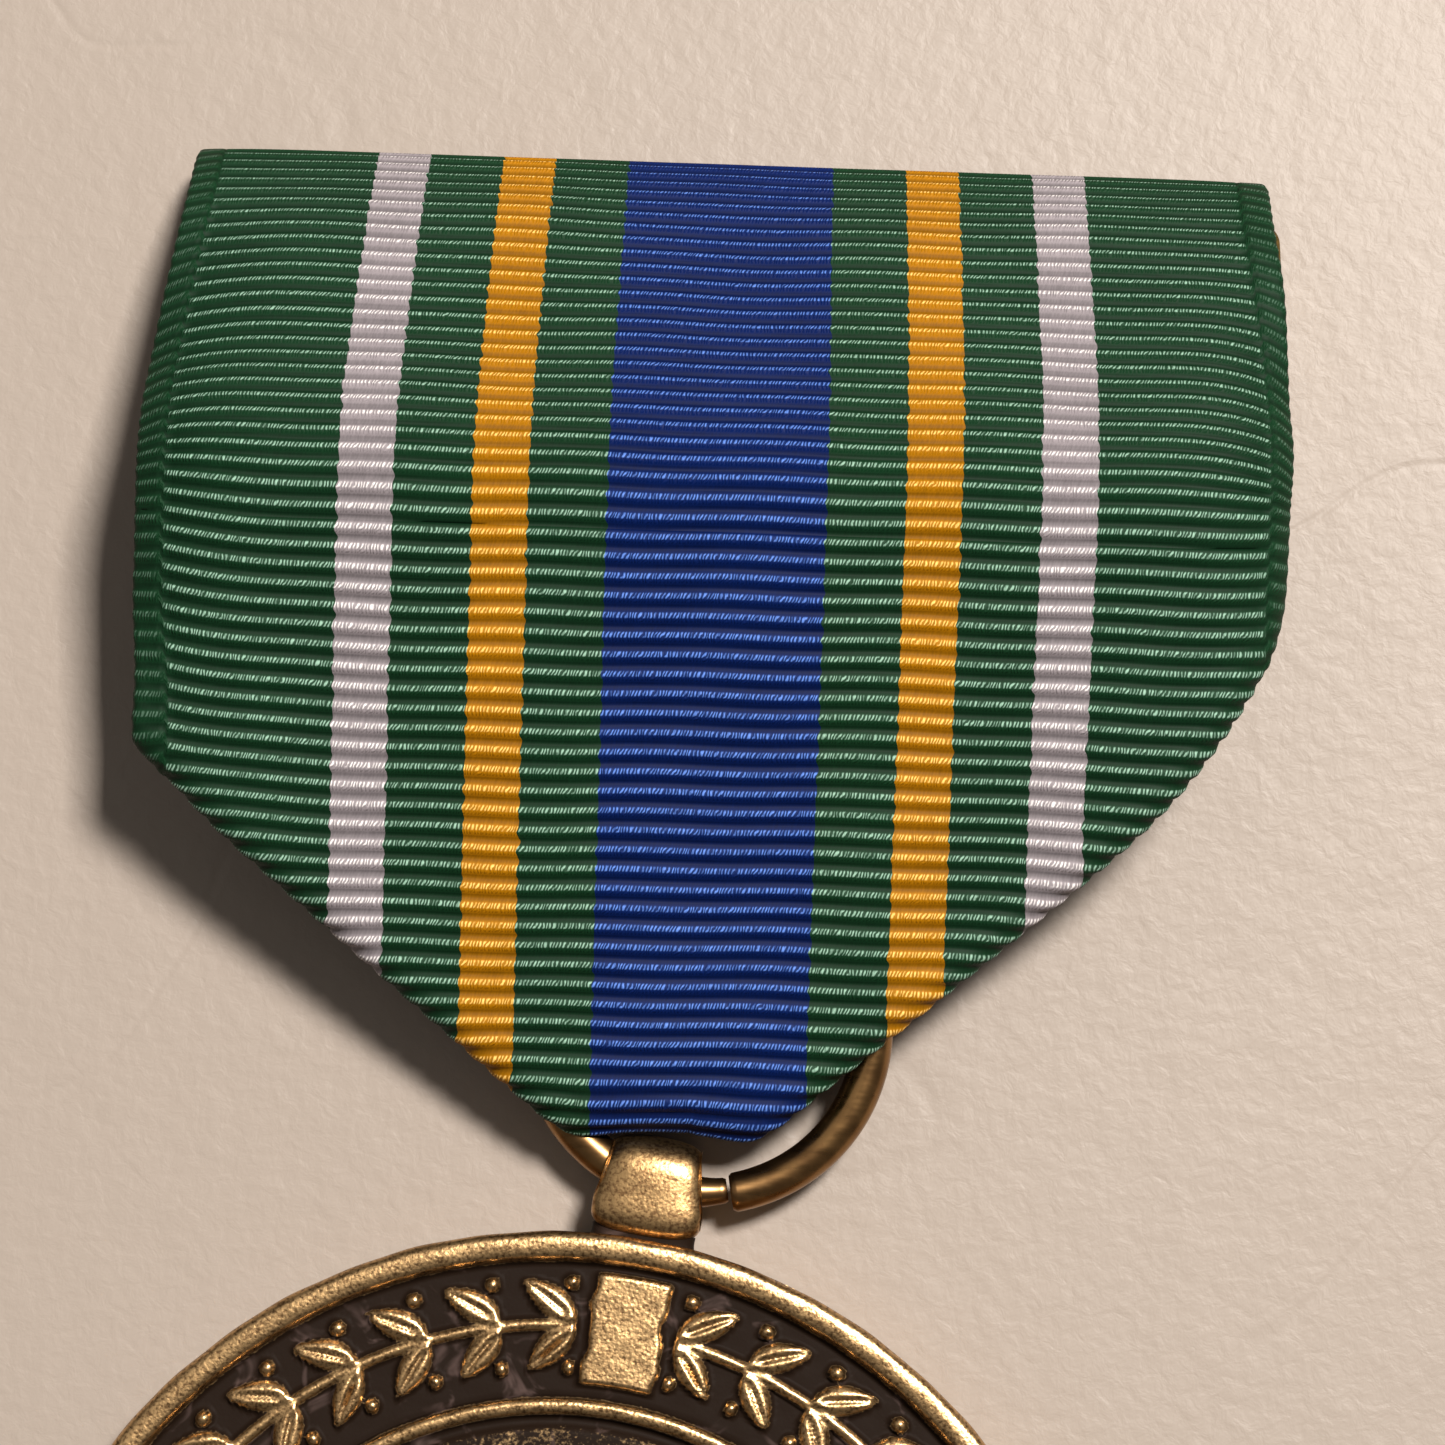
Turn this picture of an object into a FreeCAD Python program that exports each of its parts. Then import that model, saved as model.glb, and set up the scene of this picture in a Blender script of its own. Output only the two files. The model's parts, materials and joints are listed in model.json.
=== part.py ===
"""Military service medal lying face up: struck disc, jump ring, folded ribbon and pin brooch.

Frame in millimetres: +Z out of the medal's face, +Y towards the top of the ribbon, +X to the
right seen from the front. Z = 0 is the plane of the disc's back. X = Y = 0 is the middle of the
whole medal's footprint.
"""
import FreeCAD, Part
import math
import os

# ribbon
RIBBON_WIDTH = 34.9        # 1 3/8 inch woven ribbon
PLY = 0.5                  # thickness of one layer of ribbon
DROP_PAST_RING = 9.1       # ridge to bottom fold along the cloth, less the ring's mean diameter
LOWER_TILT = 15.0          # degrees the lower panel falls towards the ring
UPPER_TILT = 29.0          # degrees the upper panel falls towards the top edge
RIDGE_OVER_RING = 5.446    # top of the cloth at the ridge, above the middle of the ring's raised edge
SHOULDER_DROP = 7.4        # ridge to the corner where the sides turn inwards
BAND_WIDTH = 5.4           # narrow foot of the ribbon that runs through the ring
FOLD_DEPTH = 0.6
FOLD_TO_WIRE = 1.5         # bottom fold to the inside of the ring
FLAP_GAP = 0.3             # between the two folded corners at the middle
FLAP_TOP_DROP = 4.6        # ridge to the flaps' top edge at the middle
TAIL_LENGTH = 2.7
RISER_RUN = 2.45           # how far the ribbon behind the ring travels while it climbs
HEM_TAIL = 3.4             # hem below the ridge
# brooch
BAR_WIDTH = 33.5
BAR_HEIGHT = 9.5
BAR_THICK = 0.8
BAR_START = 2.4            # ridge to the bar's lower edge
SLOT_WIDTH = 31.0
SLOT_HEIGHT = 1.6
SLOT_FROM_TOP = 2.0
CLOTH_GAP = 0.05           # between the hem and the bar
PIN_LINE = 2.6             # pin axis above the bar's lower edge
PIN_STANDOFF = 2.18        # pin axis behind the bar's back
PIN_RADIUS = 0.4
PIN_SPAN = 24.4            # rivet to the middle of the catch
PIN_TIP = 1.6
PIN_BEYOND = 1.7           # straight pin past the middle of the catch
RIVET_RADIUS = 0.5
EYE_RADIUS = 1.05
EYE_LENGTH = 1.3
FIT = 0.05                 # radial running clearance
EAR_THICK = 0.5
TABLE_GAP = 0.02           # under the brooch when the medal lies down
EAR_RADIUS = 1.5
PAD_THICK = 0.5
CATCH_RADIUS = 2.0
CATCH_WIDTH = 1.6
LOCK_RADIUS = 1.2
LOCK_BORE = 0.72
LOCK_FLANGE = 1.5
FLANGE_THICK = 0.3
TAB_REACH = 2.0
MOUTH = 1.4
# ring
RING_MEAN = 5.05
WIRE_RADIUS = 0.6
RING_TILT = 7.0
RING_SEAM = 0.12
SEAM_ANGLE = -76.0         # degrees round the ring, 0 is +X
# medallion
DISC_RADIUS = 16.5
DISC_THICK = 2.7
RIM_WIDTH = 0.85
BAND_INNER = 11.7          # recessed band runs from here to the rim
BAND_FLOOR = 2.15
BEAD_WIDTH = 0.55
FIELD_FLOOR = 2.3
STAR_RADIUS = 8.5
STAR_RISE = 0.45
LUG_ANGLE = 17.0           # degrees the lug sits round the ring, clockwise from the foot
DISC_ANGLE = 7.6           # degrees the disc hangs clockwise
LUG_WIDTH = 3.3
LUG_TOP_WIDTH = 2.5
LUG_RADIUS = 1.24
LUG_ROUND = 0.35
LUG_BORE = 0.9
BORE_INSET = 0.18          # bore axis inside the ring's mean circle, for the wire's curve
LUG_FOOT = 1.6             # bore axis to the lug's foot
DISC_GAP = 1.85            # bore axis to the disc's edge
NECK_WIDTH = 3.2
NECK_THICK = 1.7
THREAD_RADIUS = 0.15
TACK_SPREAD = 1.0

X = FreeCAD.Vector(1, 0, 0)
Y = FreeCAD.Vector(0, 1, 0)
Z = FreeCAD.Vector(0, 0, 1)

LOWER_DROP = DROP_PAST_RING + 2 * RING_MEAN
FOLD_FRONT = -(RING_MEAN - WIRE_RADIUS - FOLD_TO_WIRE)
RIDGE_Y = FOLD_FRONT + LOWER_DROP * math.cos(math.radians(LOWER_TILT))
BAR_TOP = BAR_START + BAR_HEIGHT
BAR_FACE = -(2 * PLY + CLOTH_GAP)
BAR_BACK = BAR_FACE - BAR_THICK
PIN_V = BAR_START + PIN_LINE
PIN_N = BAR_BACK - PIN_STANDOFF
HINGE_X = -PIN_SPAN / 2
CATCH_X = PIN_SPAN / 2
RING_HEIGHT = DISC_THICK / 2 + RING_MEAN * math.cos(math.radians(LUG_ANGLE)) * math.sin(math.radians(RING_TILT))
RING_TOP = RING_HEIGHT + RING_MEAN * math.sin(math.radians(RING_TILT))
RIDGE_HEIGHT = RIDGE_OVER_RING + RING_TOP


def vec(x, y, z):
    """Short form of a vector."""
    return FreeCAD.Vector(x, y, z)


def prism(points, direction):
    """Straight solid on a closed flat outline."""
    wire = Part.makePolygon(points + [points[0]])
    return Part.Face(wire).extrude(direction)


def side_prism(outline, half_width):
    """Outline given as (y, z), run along X to both sides of the centre line."""
    points = [vec(-half_width, y, z) for y, z in outline]
    return prism(points, vec(2 * half_width, 0, 0))


def tube(centre, direction, radius, length):
    """Round bar centred on a point."""
    start = centre - direction * (length / 2)
    return Part.makeCylinder(radius, length, start, direction)


def bar_frame(shape):
    """Lay a shape from the upper panel's own frame (u, v, n) into the medal."""
    placed = shape.copy()
    turn = FreeCAD.Rotation(X, -UPPER_TILT)
    placed.Placement = FreeCAD.Placement(vec(0, RIDGE_Y, RIDGE_HEIGHT), turn).multiply(placed.Placement)
    return placed


def bar_point(v, n):
    """(y, z) of a point in the upper panel's frame."""
    tilt = math.radians(UPPER_TILT)
    y = RIDGE_Y + v * math.cos(tilt) + n * math.sin(tilt)
    z = RIDGE_HEIGHT - v * math.sin(tilt) + n * math.cos(tilt)
    return y, z


def lower_point(drop, depth):
    """(y, z) on the lower panel, a distance down from the ridge and a depth below its face."""
    tilt = math.radians(LOWER_TILT)
    y = RIDGE_Y - drop * math.cos(tilt) + depth * math.sin(tilt)
    z = RIDGE_HEIGHT - drop * math.sin(tilt) - depth * math.cos(tilt)
    return y, z


def ridge_point(depth):
    """(y, z) on the plane that halves the bend at the ridge."""
    half = math.radians((UPPER_TILT + LOWER_TILT) / 2)
    shift = depth * math.tan(half)
    return lower_point(shift, depth)


def plan_trim(shape, outline):
    """Keep what lies inside an outline seen from above."""
    points = [vec(x, y, -1) for x, y in outline]
    return shape.common(prism(points, vec(0, 0, 20)))


def ribbon_outline(inset):
    """Lower panel seen from above, from the ridge to the narrow foot."""
    side = RIBBON_WIDTH / 2 - inset
    foot = BAND_WIDTH / 2 - inset
    shoulder = RIDGE_Y - SHOULDER_DROP * math.cos(math.radians(LOWER_TILT))
    top = RIDGE_Y + 2
    low = FOLD_FRONT + FOLD_DEPTH
    return [(-side, top), (-side, shoulder), (-foot, low), (foot, low), (side, shoulder), (side, top)]


def ribbon_front_upper():
    outline = [ridge_point(0), bar_point(BAR_TOP - 0.1, 0), bar_point(BAR_TOP - 0.1, -PLY), ridge_point(PLY)]
    return side_prism(outline, RIBBON_WIDTH / 2)


def ribbon_front_lower():
    reach = LOWER_DROP + 1
    outline = [ridge_point(0), ridge_point(PLY), lower_point(reach, PLY), lower_point(reach, 0)]
    return plan_trim(side_prism(outline, RIBBON_WIDTH / 2), ribbon_outline(0))


def ribbon_hem():
    """Inner layer between the front and the bar, from the slot to the ridge."""
    top = BAR_TOP - SLOT_FROM_TOP
    outline = [ridge_point(PLY), bar_point(top, -PLY), bar_point(top, -2 * PLY), ridge_point(2 * PLY)]
    return side_prism(outline, SLOT_WIDTH / 2)


def ribbon_hem_tail():
    outline = [ridge_point(PLY), ridge_point(2 * PLY)]
    outline += [lower_point(HEM_TAIL, 2 * PLY), lower_point(HEM_TAIL, PLY)]
    return side_prism(outline, SLOT_WIDTH / 2)


def ribbon_top_wrap():
    """Ribbon over the bar's top edge and down to the slot."""
    outer = (PLY - BAR_BACK + CLOTH_GAP) / 2
    middle = vec(0, BAR_TOP - 0.1, -outer)
    roll = tube(middle, X, outer, SLOT_WIDTH)
    roll = roll.cut(tube(middle, X, outer - PLY, SLOT_WIDTH + 2))
    lower_half = Part.makeBox(SLOT_WIDTH + 4, 4, 8, vec(-SLOT_WIDTH / 2 - 2, BAR_TOP - 4.1, -6))
    roll = roll.cut(lower_half)
    back_length = SLOT_FROM_TOP + 0.4
    corner = vec(-SLOT_WIDTH / 2, BAR_TOP - 0.1 - back_length, -2 * outer)
    back = Part.makeBox(SLOT_WIDTH, back_length, PLY, corner)
    return bar_frame(roll.fuse(back).removeSplitter())


def ribbon_flap(side):
    """Corner of the ribbon folded behind the front; side is -1 left, +1 right."""
    reach = LOWER_DROP + 1
    outline = [lower_point(HEM_TAIL + 0.5, PLY), lower_point(HEM_TAIL + 0.5, 2 * PLY)]
    outline += [lower_point(reach, 2 * PLY), lower_point(reach, PLY)]
    sheet = side_prism(outline, RIBBON_WIDTH / 2)
    inset = 0.25
    half = RIBBON_WIDTH / 2 - inset
    foot = BAND_WIDTH / 2 - inset
    shoulder = RIDGE_Y - SHOULDER_DROP * math.cos(math.radians(LOWER_TILT))
    low = FOLD_FRONT + FOLD_DEPTH
    stop = -0.5
    reach_x = foot + (half - foot) * (stop - low) / (shoulder - low)
    peak = RIDGE_Y - FLAP_TOP_DROP * math.cos(math.radians(LOWER_TILT))
    plan = [(FLAP_GAP / 2, peak), (half, shoulder), (reach_x, stop), (FLAP_GAP / 2, stop)]
    return plan_trim(sheet, [(side * x, y) for x, y in plan])


def ribbon_bottom_fold():
    """Foot of the ribbon turning back inside the ring."""
    top = lower_point(LOWER_DROP, 0)[1]
    base = 0.15
    back = FOLD_FRONT + FOLD_DEPTH
    corner = FOLD_DEPTH * 0.6
    outline = [(back, base), (FOLD_FRONT + corner, base), (FOLD_FRONT, base + corner)]
    outline += [(FOLD_FRONT, top - corner), (FOLD_FRONT + corner, top), (back, top)]
    return side_prism(outline, BAND_WIDTH / 2)


LOOP_END = RING_MEAN + WIRE_RADIUS + 0.6
LOOP_RISE = RING_TOP - WIRE_RADIUS - 0.3


def ribbon_loop_back():
    """Foot of the ribbon running back under the ring."""
    start = FOLD_FRONT + FOLD_DEPTH
    outline = [(start, 0.15), (start, 0.15 + PLY), (LOOP_END, LOOP_RISE), (LOOP_END, LOOP_RISE - PLY)]
    return side_prism(outline, BAND_WIDTH / 2)


def tail_drop():
    """Distance down the lower panel at which the tail meets the flaps."""
    return (RIDGE_Y - LOOP_END - RISER_RUN) / math.cos(math.radians(LOWER_TILT))


def ribbon_loop_riser():
    """Ribbon climbing from under the ring to the back of the flaps."""
    y_in, z_in = lower_point(tail_drop(), 2 * PLY)
    y_out, z_out = lower_point(tail_drop(), 3 * PLY)
    outline = [(LOOP_END, LOOP_RISE), (LOOP_END, LOOP_RISE - PLY), (y_out, z_out), (y_in, z_in)]
    return side_prism(outline, BAND_WIDTH / 2)


def ribbon_tail():
    """Sewn end of the ribbon, flat on the back of the flaps."""
    outline = [lower_point(tail_drop(), 2 * PLY), lower_point(tail_drop(), 3 * PLY)]
    outline += [lower_point(tail_drop() - TAIL_LENGTH, 3 * PLY), lower_point(tail_drop() - TAIL_LENGTH, 2 * PLY)]
    return side_prism(outline, BAND_WIDTH / 2)


def stitch(drop, depth, x, length):
    """One thread bar lying across a seam on the back of the lower panel."""
    y, z = lower_point(drop, depth + THREAD_RADIUS)
    return tube(vec(x, y, z), X, THREAD_RADIUS, length)


def hem_stitches():
    count = 15
    spacing = (SLOT_WIDTH - 2) / count
    bars = []
    for i in range(count):
        x = (i - (count - 1) / 2) * spacing
        bars.append(stitch(HEM_TAIL - 1, 2 * PLY, x, spacing * 0.6))
    return Part.makeCompound(bars)


def tail_stitches():
    bars = []
    for i in range(3):
        drop = tail_drop() - TAIL_LENGTH / 2 + (i - 1) * TACK_SPREAD
        bars.append(stitch(drop, 3 * PLY, 0, BAND_WIDTH - 1))
    return Part.makeCompound(bars)


def brooch_bar():
    """Stamped plate with a long slot near its top edge."""
    corner = vec(-BAR_WIDTH / 2, BAR_START, BAR_BACK)
    plate = Part.makeBox(BAR_WIDTH, BAR_HEIGHT, BAR_THICK, corner)
    upright = [edge for edge in plate.Edges if abs(edge.tangentAt(edge.FirstParameter).z) > 0.9]
    plate = plate.makeFillet(1.0, upright)
    slot_corner = vec(-SLOT_WIDTH / 2, BAR_TOP - SLOT_FROM_TOP - SLOT_HEIGHT, BAR_BACK - 1)
    slot = Part.makeBox(SLOT_WIDTH, SLOT_HEIGHT, BAR_THICK + 2, slot_corner)
    return bar_frame(plate.cut(slot))


def hinge_bracket():
    """Pad with two ears that carry the rivet."""
    gap = EYE_LENGTH + 2 * FIT
    pad_half = gap / 2 + EAR_THICK
    pad = Part.makeBox(4.4, 2 * pad_half, PAD_THICK, vec(HINGE_X - 2.2, PIN_V - pad_half, BAR_BACK - PAD_THICK))
    tilt = math.radians(UPPER_TILT)
    foot_height = EAR_RADIUS * math.cos(tilt) + TABLE_GAP
    low_corner = (PIN_V + pad_half) * math.sin(tilt)
    foot_n = -(RIDGE_HEIGHT - low_corner - foot_height) / math.cos(tilt)
    ears = []
    for side in (-1, 1):
        start = PIN_V + (gap / 2 if side > 0 else -gap / 2 - EAR_THICK)
        width = 2 * EAR_RADIUS
        height = BAR_BACK - foot_n
        ear = Part.makeBox(width, EAR_THICK, height, vec(HINGE_X - EAR_RADIUS, start, foot_n))
        ear = ear.fuse(Part.makeCylinder(EAR_RADIUS, EAR_THICK, vec(HINGE_X, start, foot_n), Y))
        ears.append(ear)
    body = pad.fuse(ears)
    bore = tube(vec(HINGE_X, PIN_V, PIN_N), Y, RIVET_RADIUS, 2 * pad_half + 2)
    return bar_frame(body.cut(bore).removeSplitter())


def hinge_rivet():
    half = EYE_LENGTH / 2 + FIT + EAR_THICK
    shaft = tube(vec(HINGE_X, PIN_V, PIN_N), Y, RIVET_RADIUS, 2 * half)
    heads = []
    for side in (-1, 1):
        start = vec(HINGE_X, PIN_V + side * half, PIN_N)
        heads.append(Part.makeCylinder(RIVET_RADIUS + 0.3, 0.3, start, Y * side))
    return bar_frame(shaft.fuse(heads).removeSplitter())


def pin_stem():
    """Sharp steel pin with an eye round the rivet."""
    eye = tube(vec(HINGE_X, PIN_V, PIN_N), Y, EYE_RADIUS, EYE_LENGTH)
    straight = PIN_SPAN + PIN_BEYOND
    start = vec(HINGE_X + RIVET_RADIUS + 0.2, PIN_V, PIN_N)
    stem = Part.makeCylinder(PIN_RADIUS, straight - RIVET_RADIUS - 0.2, start, X)
    tip = Part.makeCone(PIN_RADIUS, 0.05, PIN_TIP, vec(HINGE_X + straight, PIN_V, PIN_N), X)
    body = eye.fuse([stem, tip])
    return bar_frame(body.cut(tube(vec(HINGE_X, PIN_V, PIN_N), Y, RIVET_RADIUS + FIT, 4)))


def mouth_cut(width, length):
    """Slot that opens a round part away from the bar."""
    corner = vec(CATCH_X - length / 2, PIN_V - width / 2, PIN_N - 4)
    return Part.makeBox(length, width, 4, corner)


def catch_base():
    """Hook-shaped catch on a round pad."""
    middle = vec(CATCH_X, PIN_V, PIN_N)
    pad = Part.makeCylinder(CATCH_RADIUS, PAD_THICK, vec(CATCH_X, PIN_V, BAR_BACK - PAD_THICK), Z)
    hook = tube(middle, X, CATCH_RADIUS, CATCH_WIDTH)
    foot = Part.makeBox(CATCH_WIDTH, 2.6, PIN_STANDOFF, vec(CATCH_X - CATCH_WIDTH / 2, PIN_V - 1.3, PIN_N))
    body = pad.fuse([hook, foot])
    body = body.cut(Part.makeBox(6, 6, 3, vec(CATCH_X - 3, PIN_V - 3, BAR_BACK)))
    body = body.cut(tube(middle, X, LOCK_RADIUS + FIT, 6))
    return bar_frame(body.cut(mouth_cut(MOUTH, 6)).removeSplitter())


def catch_lock():
    """Split sleeve that turns in the catch and closes its mouth, with a thumb tab."""
    middle = vec(CATCH_X, PIN_V, PIN_N)
    sleeve = tube(middle, X, LOCK_RADIUS, CATCH_WIDTH + 4 * FIT)
    parts = []
    for side in (-1, 1):
        start = vec(CATCH_X + side * (CATCH_WIDTH / 2 + 2 * FIT), PIN_V, PIN_N)
        parts.append(Part.makeCylinder(LOCK_FLANGE, FLANGE_THICK, start, X * side))
    tab = Part.makeBox(FLANGE_THICK, TAB_REACH, 0.9, vec(start.x, PIN_V - TAB_REACH, PIN_N - 0.9))
    body = sleeve.fuse(parts + [tab])
    body = body.cut(tube(middle, X, LOCK_BORE, 6))
    return bar_frame(body.cut(mouth_cut(MOUTH - 0.1, 6)).removeSplitter())


def jump_ring():
    """Round wire bent to a ring, its ends butted with a fine seam."""
    torus = Part.makeTorus(RING_MEAN, WIRE_RADIUS)
    seam = Part.makeBox(3, RING_SEAM, 3, vec(RING_MEAN - 1.5, -RING_SEAM / 2, -1.5))
    seam.rotate(vec(0, 0, 0), Z, SEAM_ANGLE)
    ring = torus.cut(seam)
    ring.Placement = FreeCAD.Placement(vec(0, 0, RING_HEIGHT), FreeCAD.Rotation(X, RING_TILT))
    return ring


def bore_centre():
    """Middle of the lug's bore, on the flat plane of the disc."""
    reach = RING_MEAN - BORE_INSET
    angle = math.radians(LUG_ANGLE)
    tilt = math.radians(RING_TILT)
    return vec(-reach * math.sin(angle), -reach * math.cos(angle) * math.cos(tilt), DISC_THICK / 2)


def hang(shape):
    """Lay a shape from the disc's own frame, bore axis at the origin and disc below it, into the medal."""
    placed = shape.copy()
    placed.Placement = FreeCAD.Placement(bore_centre(), FreeCAD.Rotation(Z, -DISC_ANGLE)).multiply(placed.Placement)
    return placed


def disc_centre():
    return vec(0, -(DISC_GAP + DISC_RADIUS), -DISC_THICK / 2)


def star(outer, inner, base, height):
    """Plain five-pointed star standing on a floor."""
    points = []
    for i in range(10):
        reach = outer if i % 2 == 0 else inner
        angle = math.radians(90 + 36 * i)
        points.append(vec(reach * math.cos(angle), reach * math.sin(angle), base))
    return prism(points, vec(0, 0, height))


def medallion():
    """Struck disc: raised rim, recessed band, bead, sunk field and a plain star."""
    rim = DISC_RADIUS - RIM_WIDTH
    bead = BAND_INNER - BEAD_WIDTH
    edge = 0.25
    profile = [(0, 0), (DISC_RADIUS - edge, 0), (DISC_RADIUS, edge), (DISC_RADIUS, DISC_THICK - edge)]
    profile += [(DISC_RADIUS - edge, DISC_THICK), (rim, DISC_THICK), (rim - 0.2, BAND_FLOOR)]
    profile += [(BAND_INNER, BAND_FLOOR), (BAND_INNER - 0.1, DISC_THICK - 0.15), (bead, DISC_THICK - 0.15)]
    profile += [(bead - 0.1, FIELD_FLOOR), (0, FIELD_FLOOR)]
    points = [vec(x, 0, z) for x, z in profile]
    face = Part.Face(Part.makePolygon(points + [points[0]]))
    disc = face.revolve(vec(0, 0, 0), Z, 360)
    disc = disc.fuse(star(STAR_RADIUS, STAR_RADIUS * 0.42, FIELD_FLOOR - 0.2, STAR_RISE + 0.2))
    disc.translate(disc_centre())
    return hang(disc.removeSplitter())


def suspension_lug():
    """Pillow-shaped loop brazed to the disc's edge, bored for the ring."""
    barrel = tube(vec(0, 0, 0), X, LUG_RADIUS, LUG_TOP_WIDTH)
    rims = [edge for edge in barrel.Edges if edge.Length > LUG_TOP_WIDTH + 1]
    barrel = barrel.makeFillet(LUG_ROUND, rims)
    half_top = LUG_TOP_WIDTH / 2
    half_foot = LUG_WIDTH / 2
    depth = 2 * LUG_RADIUS - 0.1
    outline = [vec(-half_top, 0, -depth / 2), vec(half_top, 0, -depth / 2)]
    outline += [vec(half_foot, -LUG_FOOT, -depth / 2), vec(-half_foot, -LUG_FOOT, -depth / 2)]
    block = prism(outline, vec(0, 0, depth))
    slanted = [edge for edge in block.Edges if abs(edge.tangentAt(edge.FirstParameter).z) < 0.1]
    feet = [edge for edge in slanted if edge.CenterOfMass.y < -LUG_FOOT + 0.01]
    block = block.makeFillet(0.3, feet)
    neck_length = DISC_RADIUS + DISC_GAP - LUG_FOOT + 0.2
    neck = Part.makeBox(NECK_WIDTH, 1.0, NECK_THICK, vec(-NECK_WIDTH / 2, -LUG_FOOT - 0.8, -NECK_THICK / 2))
    edge_round = Part.makeCylinder(DISC_RADIUS, 4, disc_centre() - Z, Z)
    neck = neck.cut(edge_round)
    body = barrel.fuse([block, neck])
    body = body.cut(tube(vec(0, 0, 0), X, LUG_BORE, neck_length))
    return hang(body.removeSplitter())


def footprint_shift(shapes):
    """Move that puts the middle of the footprint on X = Y = 0."""
    box = FreeCAD.BoundBox()
    for shape in shapes:
        box.add(shape.BoundBox)
    return vec(-box.Center.x, -box.Center.y, -box.ZMin)


def build():
    """Every node by name."""
    return {
        "ribbon_front_upper": ribbon_front_upper(),
        "ribbon_front_lower": ribbon_front_lower(),
        "ribbon_hem": ribbon_hem(),
        "ribbon_hem_tail": ribbon_hem_tail(),
        "ribbon_top_wrap": ribbon_top_wrap(),
        "ribbon_flap_left": ribbon_flap(-1),
        "ribbon_flap_right": ribbon_flap(1),
        "ribbon_bottom_fold": ribbon_bottom_fold(),
        "ribbon_loop_back": ribbon_loop_back(),
        "ribbon_loop_riser": ribbon_loop_riser(),
        "ribbon_tail": ribbon_tail(),
        "hem_stitches": hem_stitches(),
        "tail_stitches": tail_stitches(),
        "brooch_bar": brooch_bar(),
        "hinge_bracket": hinge_bracket(),
        "hinge_rivet": hinge_rivet(),
        "pin_stem": pin_stem(),
        "catch_base": catch_base(),
        "catch_lock": catch_lock(),
        "jump_ring": jump_ring(),
        "suspension_lug": suspension_lug(),
        "medallion": medallion(),
    }


nodes = build()
shift = footprint_shift(nodes.values())
os.makedirs("parts", exist_ok=True)
for name, shape in nodes.items():
    shape.translate(shift)
    shape.exportStep("parts/" + name + ".step")
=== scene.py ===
"""Service medal lying face up: ribbed ribbon, jump ring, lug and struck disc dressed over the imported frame.

Lengths inside this script are millimetres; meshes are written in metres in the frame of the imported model.
"""
import json
import logging
import math
from dataclasses import dataclass
from enum import Enum
from typing import Optional

import bpy
import numpy as np
from mathutils import Matrix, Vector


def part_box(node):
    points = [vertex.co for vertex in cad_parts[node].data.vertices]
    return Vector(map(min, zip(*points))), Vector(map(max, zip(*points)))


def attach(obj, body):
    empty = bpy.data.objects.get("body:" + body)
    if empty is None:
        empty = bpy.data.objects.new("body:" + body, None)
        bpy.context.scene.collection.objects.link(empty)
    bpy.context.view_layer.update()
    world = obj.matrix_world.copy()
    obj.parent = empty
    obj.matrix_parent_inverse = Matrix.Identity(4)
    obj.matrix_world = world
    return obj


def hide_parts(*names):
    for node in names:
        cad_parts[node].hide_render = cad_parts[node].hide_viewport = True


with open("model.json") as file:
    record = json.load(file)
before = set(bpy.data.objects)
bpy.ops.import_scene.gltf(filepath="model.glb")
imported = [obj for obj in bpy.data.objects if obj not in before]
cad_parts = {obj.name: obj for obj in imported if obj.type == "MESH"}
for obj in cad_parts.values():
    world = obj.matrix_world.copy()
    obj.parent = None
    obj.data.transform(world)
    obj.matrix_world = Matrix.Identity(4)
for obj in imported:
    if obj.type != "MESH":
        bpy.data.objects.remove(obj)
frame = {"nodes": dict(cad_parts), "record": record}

LOG = logging.getLogger("medal")
MM = 0.001
Array = np.ndarray
Rows = tuple[Array, Array, Array]


# ---------------------------------------------------------------- arrays and meshes


def smooth(x: Array, low: float, high: float) -> Array:
    """Ease from 0 at low to 1 at high.

    Args:
        x: Values to ease.
        low: Where the result leaves 0.
        high: Where the result reaches 1.
    Returns:
        Eased values between 0 and 1.
    """
    t = np.clip((x - low) / (high - low), 0.0, 1.0)
    return t * t * (3.0 - 2.0 * t)


def running_sum(values: Array, step: Array) -> Array:
    """Trapezoid integral of values along their own axis, starting at 0.

    Args:
        values: Integrand samples.
        step: Distance between neighbouring samples.
    Returns:
        Integral at each sample.
    """
    return np.concatenate([[0.0], np.cumsum(0.5 * (values[1:] + values[:-1]) * step)])


def grid_quads(rows: int, cols: int, wrap: bool = False) -> Array:
    """Quads of a rows by cols grid of vertices, as rows of four indices.

    Args:
        rows: Vertices along the first parameter.
        cols: Vertices along the second parameter.
        wrap: Whether the second parameter closes on itself.
    Returns:
        Array of shape (count, 4).
    """
    i = np.arange(rows - 1)[:, None]
    j = np.arange(cols if wrap else cols - 1)[None, :]
    k = (j + 1) % cols
    quads = np.stack([i * cols + j, i * cols + k, (i + 1) * cols + k, (i + 1) * cols + j], axis=-1)
    return quads.reshape(-1, 4)


def full_turn(count: int) -> Array:
    """Evenly spaced angles round a full turn, without the one that would close it.

    Args:
        count: Number of angles.
    Returns:
        Angles in radians.
    """
    return np.arange(count) * (2.0 * math.pi / count)


def end_fans(rows: int, cols: int) -> Array:
    """Triangles that close both ends of a wrapped grid on two vertices stored after it.

    Args:
        rows: Rows of the grid.
        cols: Vertices in each row.
    Returns:
        Array of shape (2 * cols, 3).
    """
    j = np.arange(cols)
    k = (j + 1) % cols
    low = (rows - 1) * cols
    start = np.stack([np.full(cols, rows * cols), k, j], axis=-1)
    stop = np.stack([np.full(cols, rows * cols + 1), low + j, low + k], axis=-1)
    return np.concatenate([start, stop])


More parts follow.
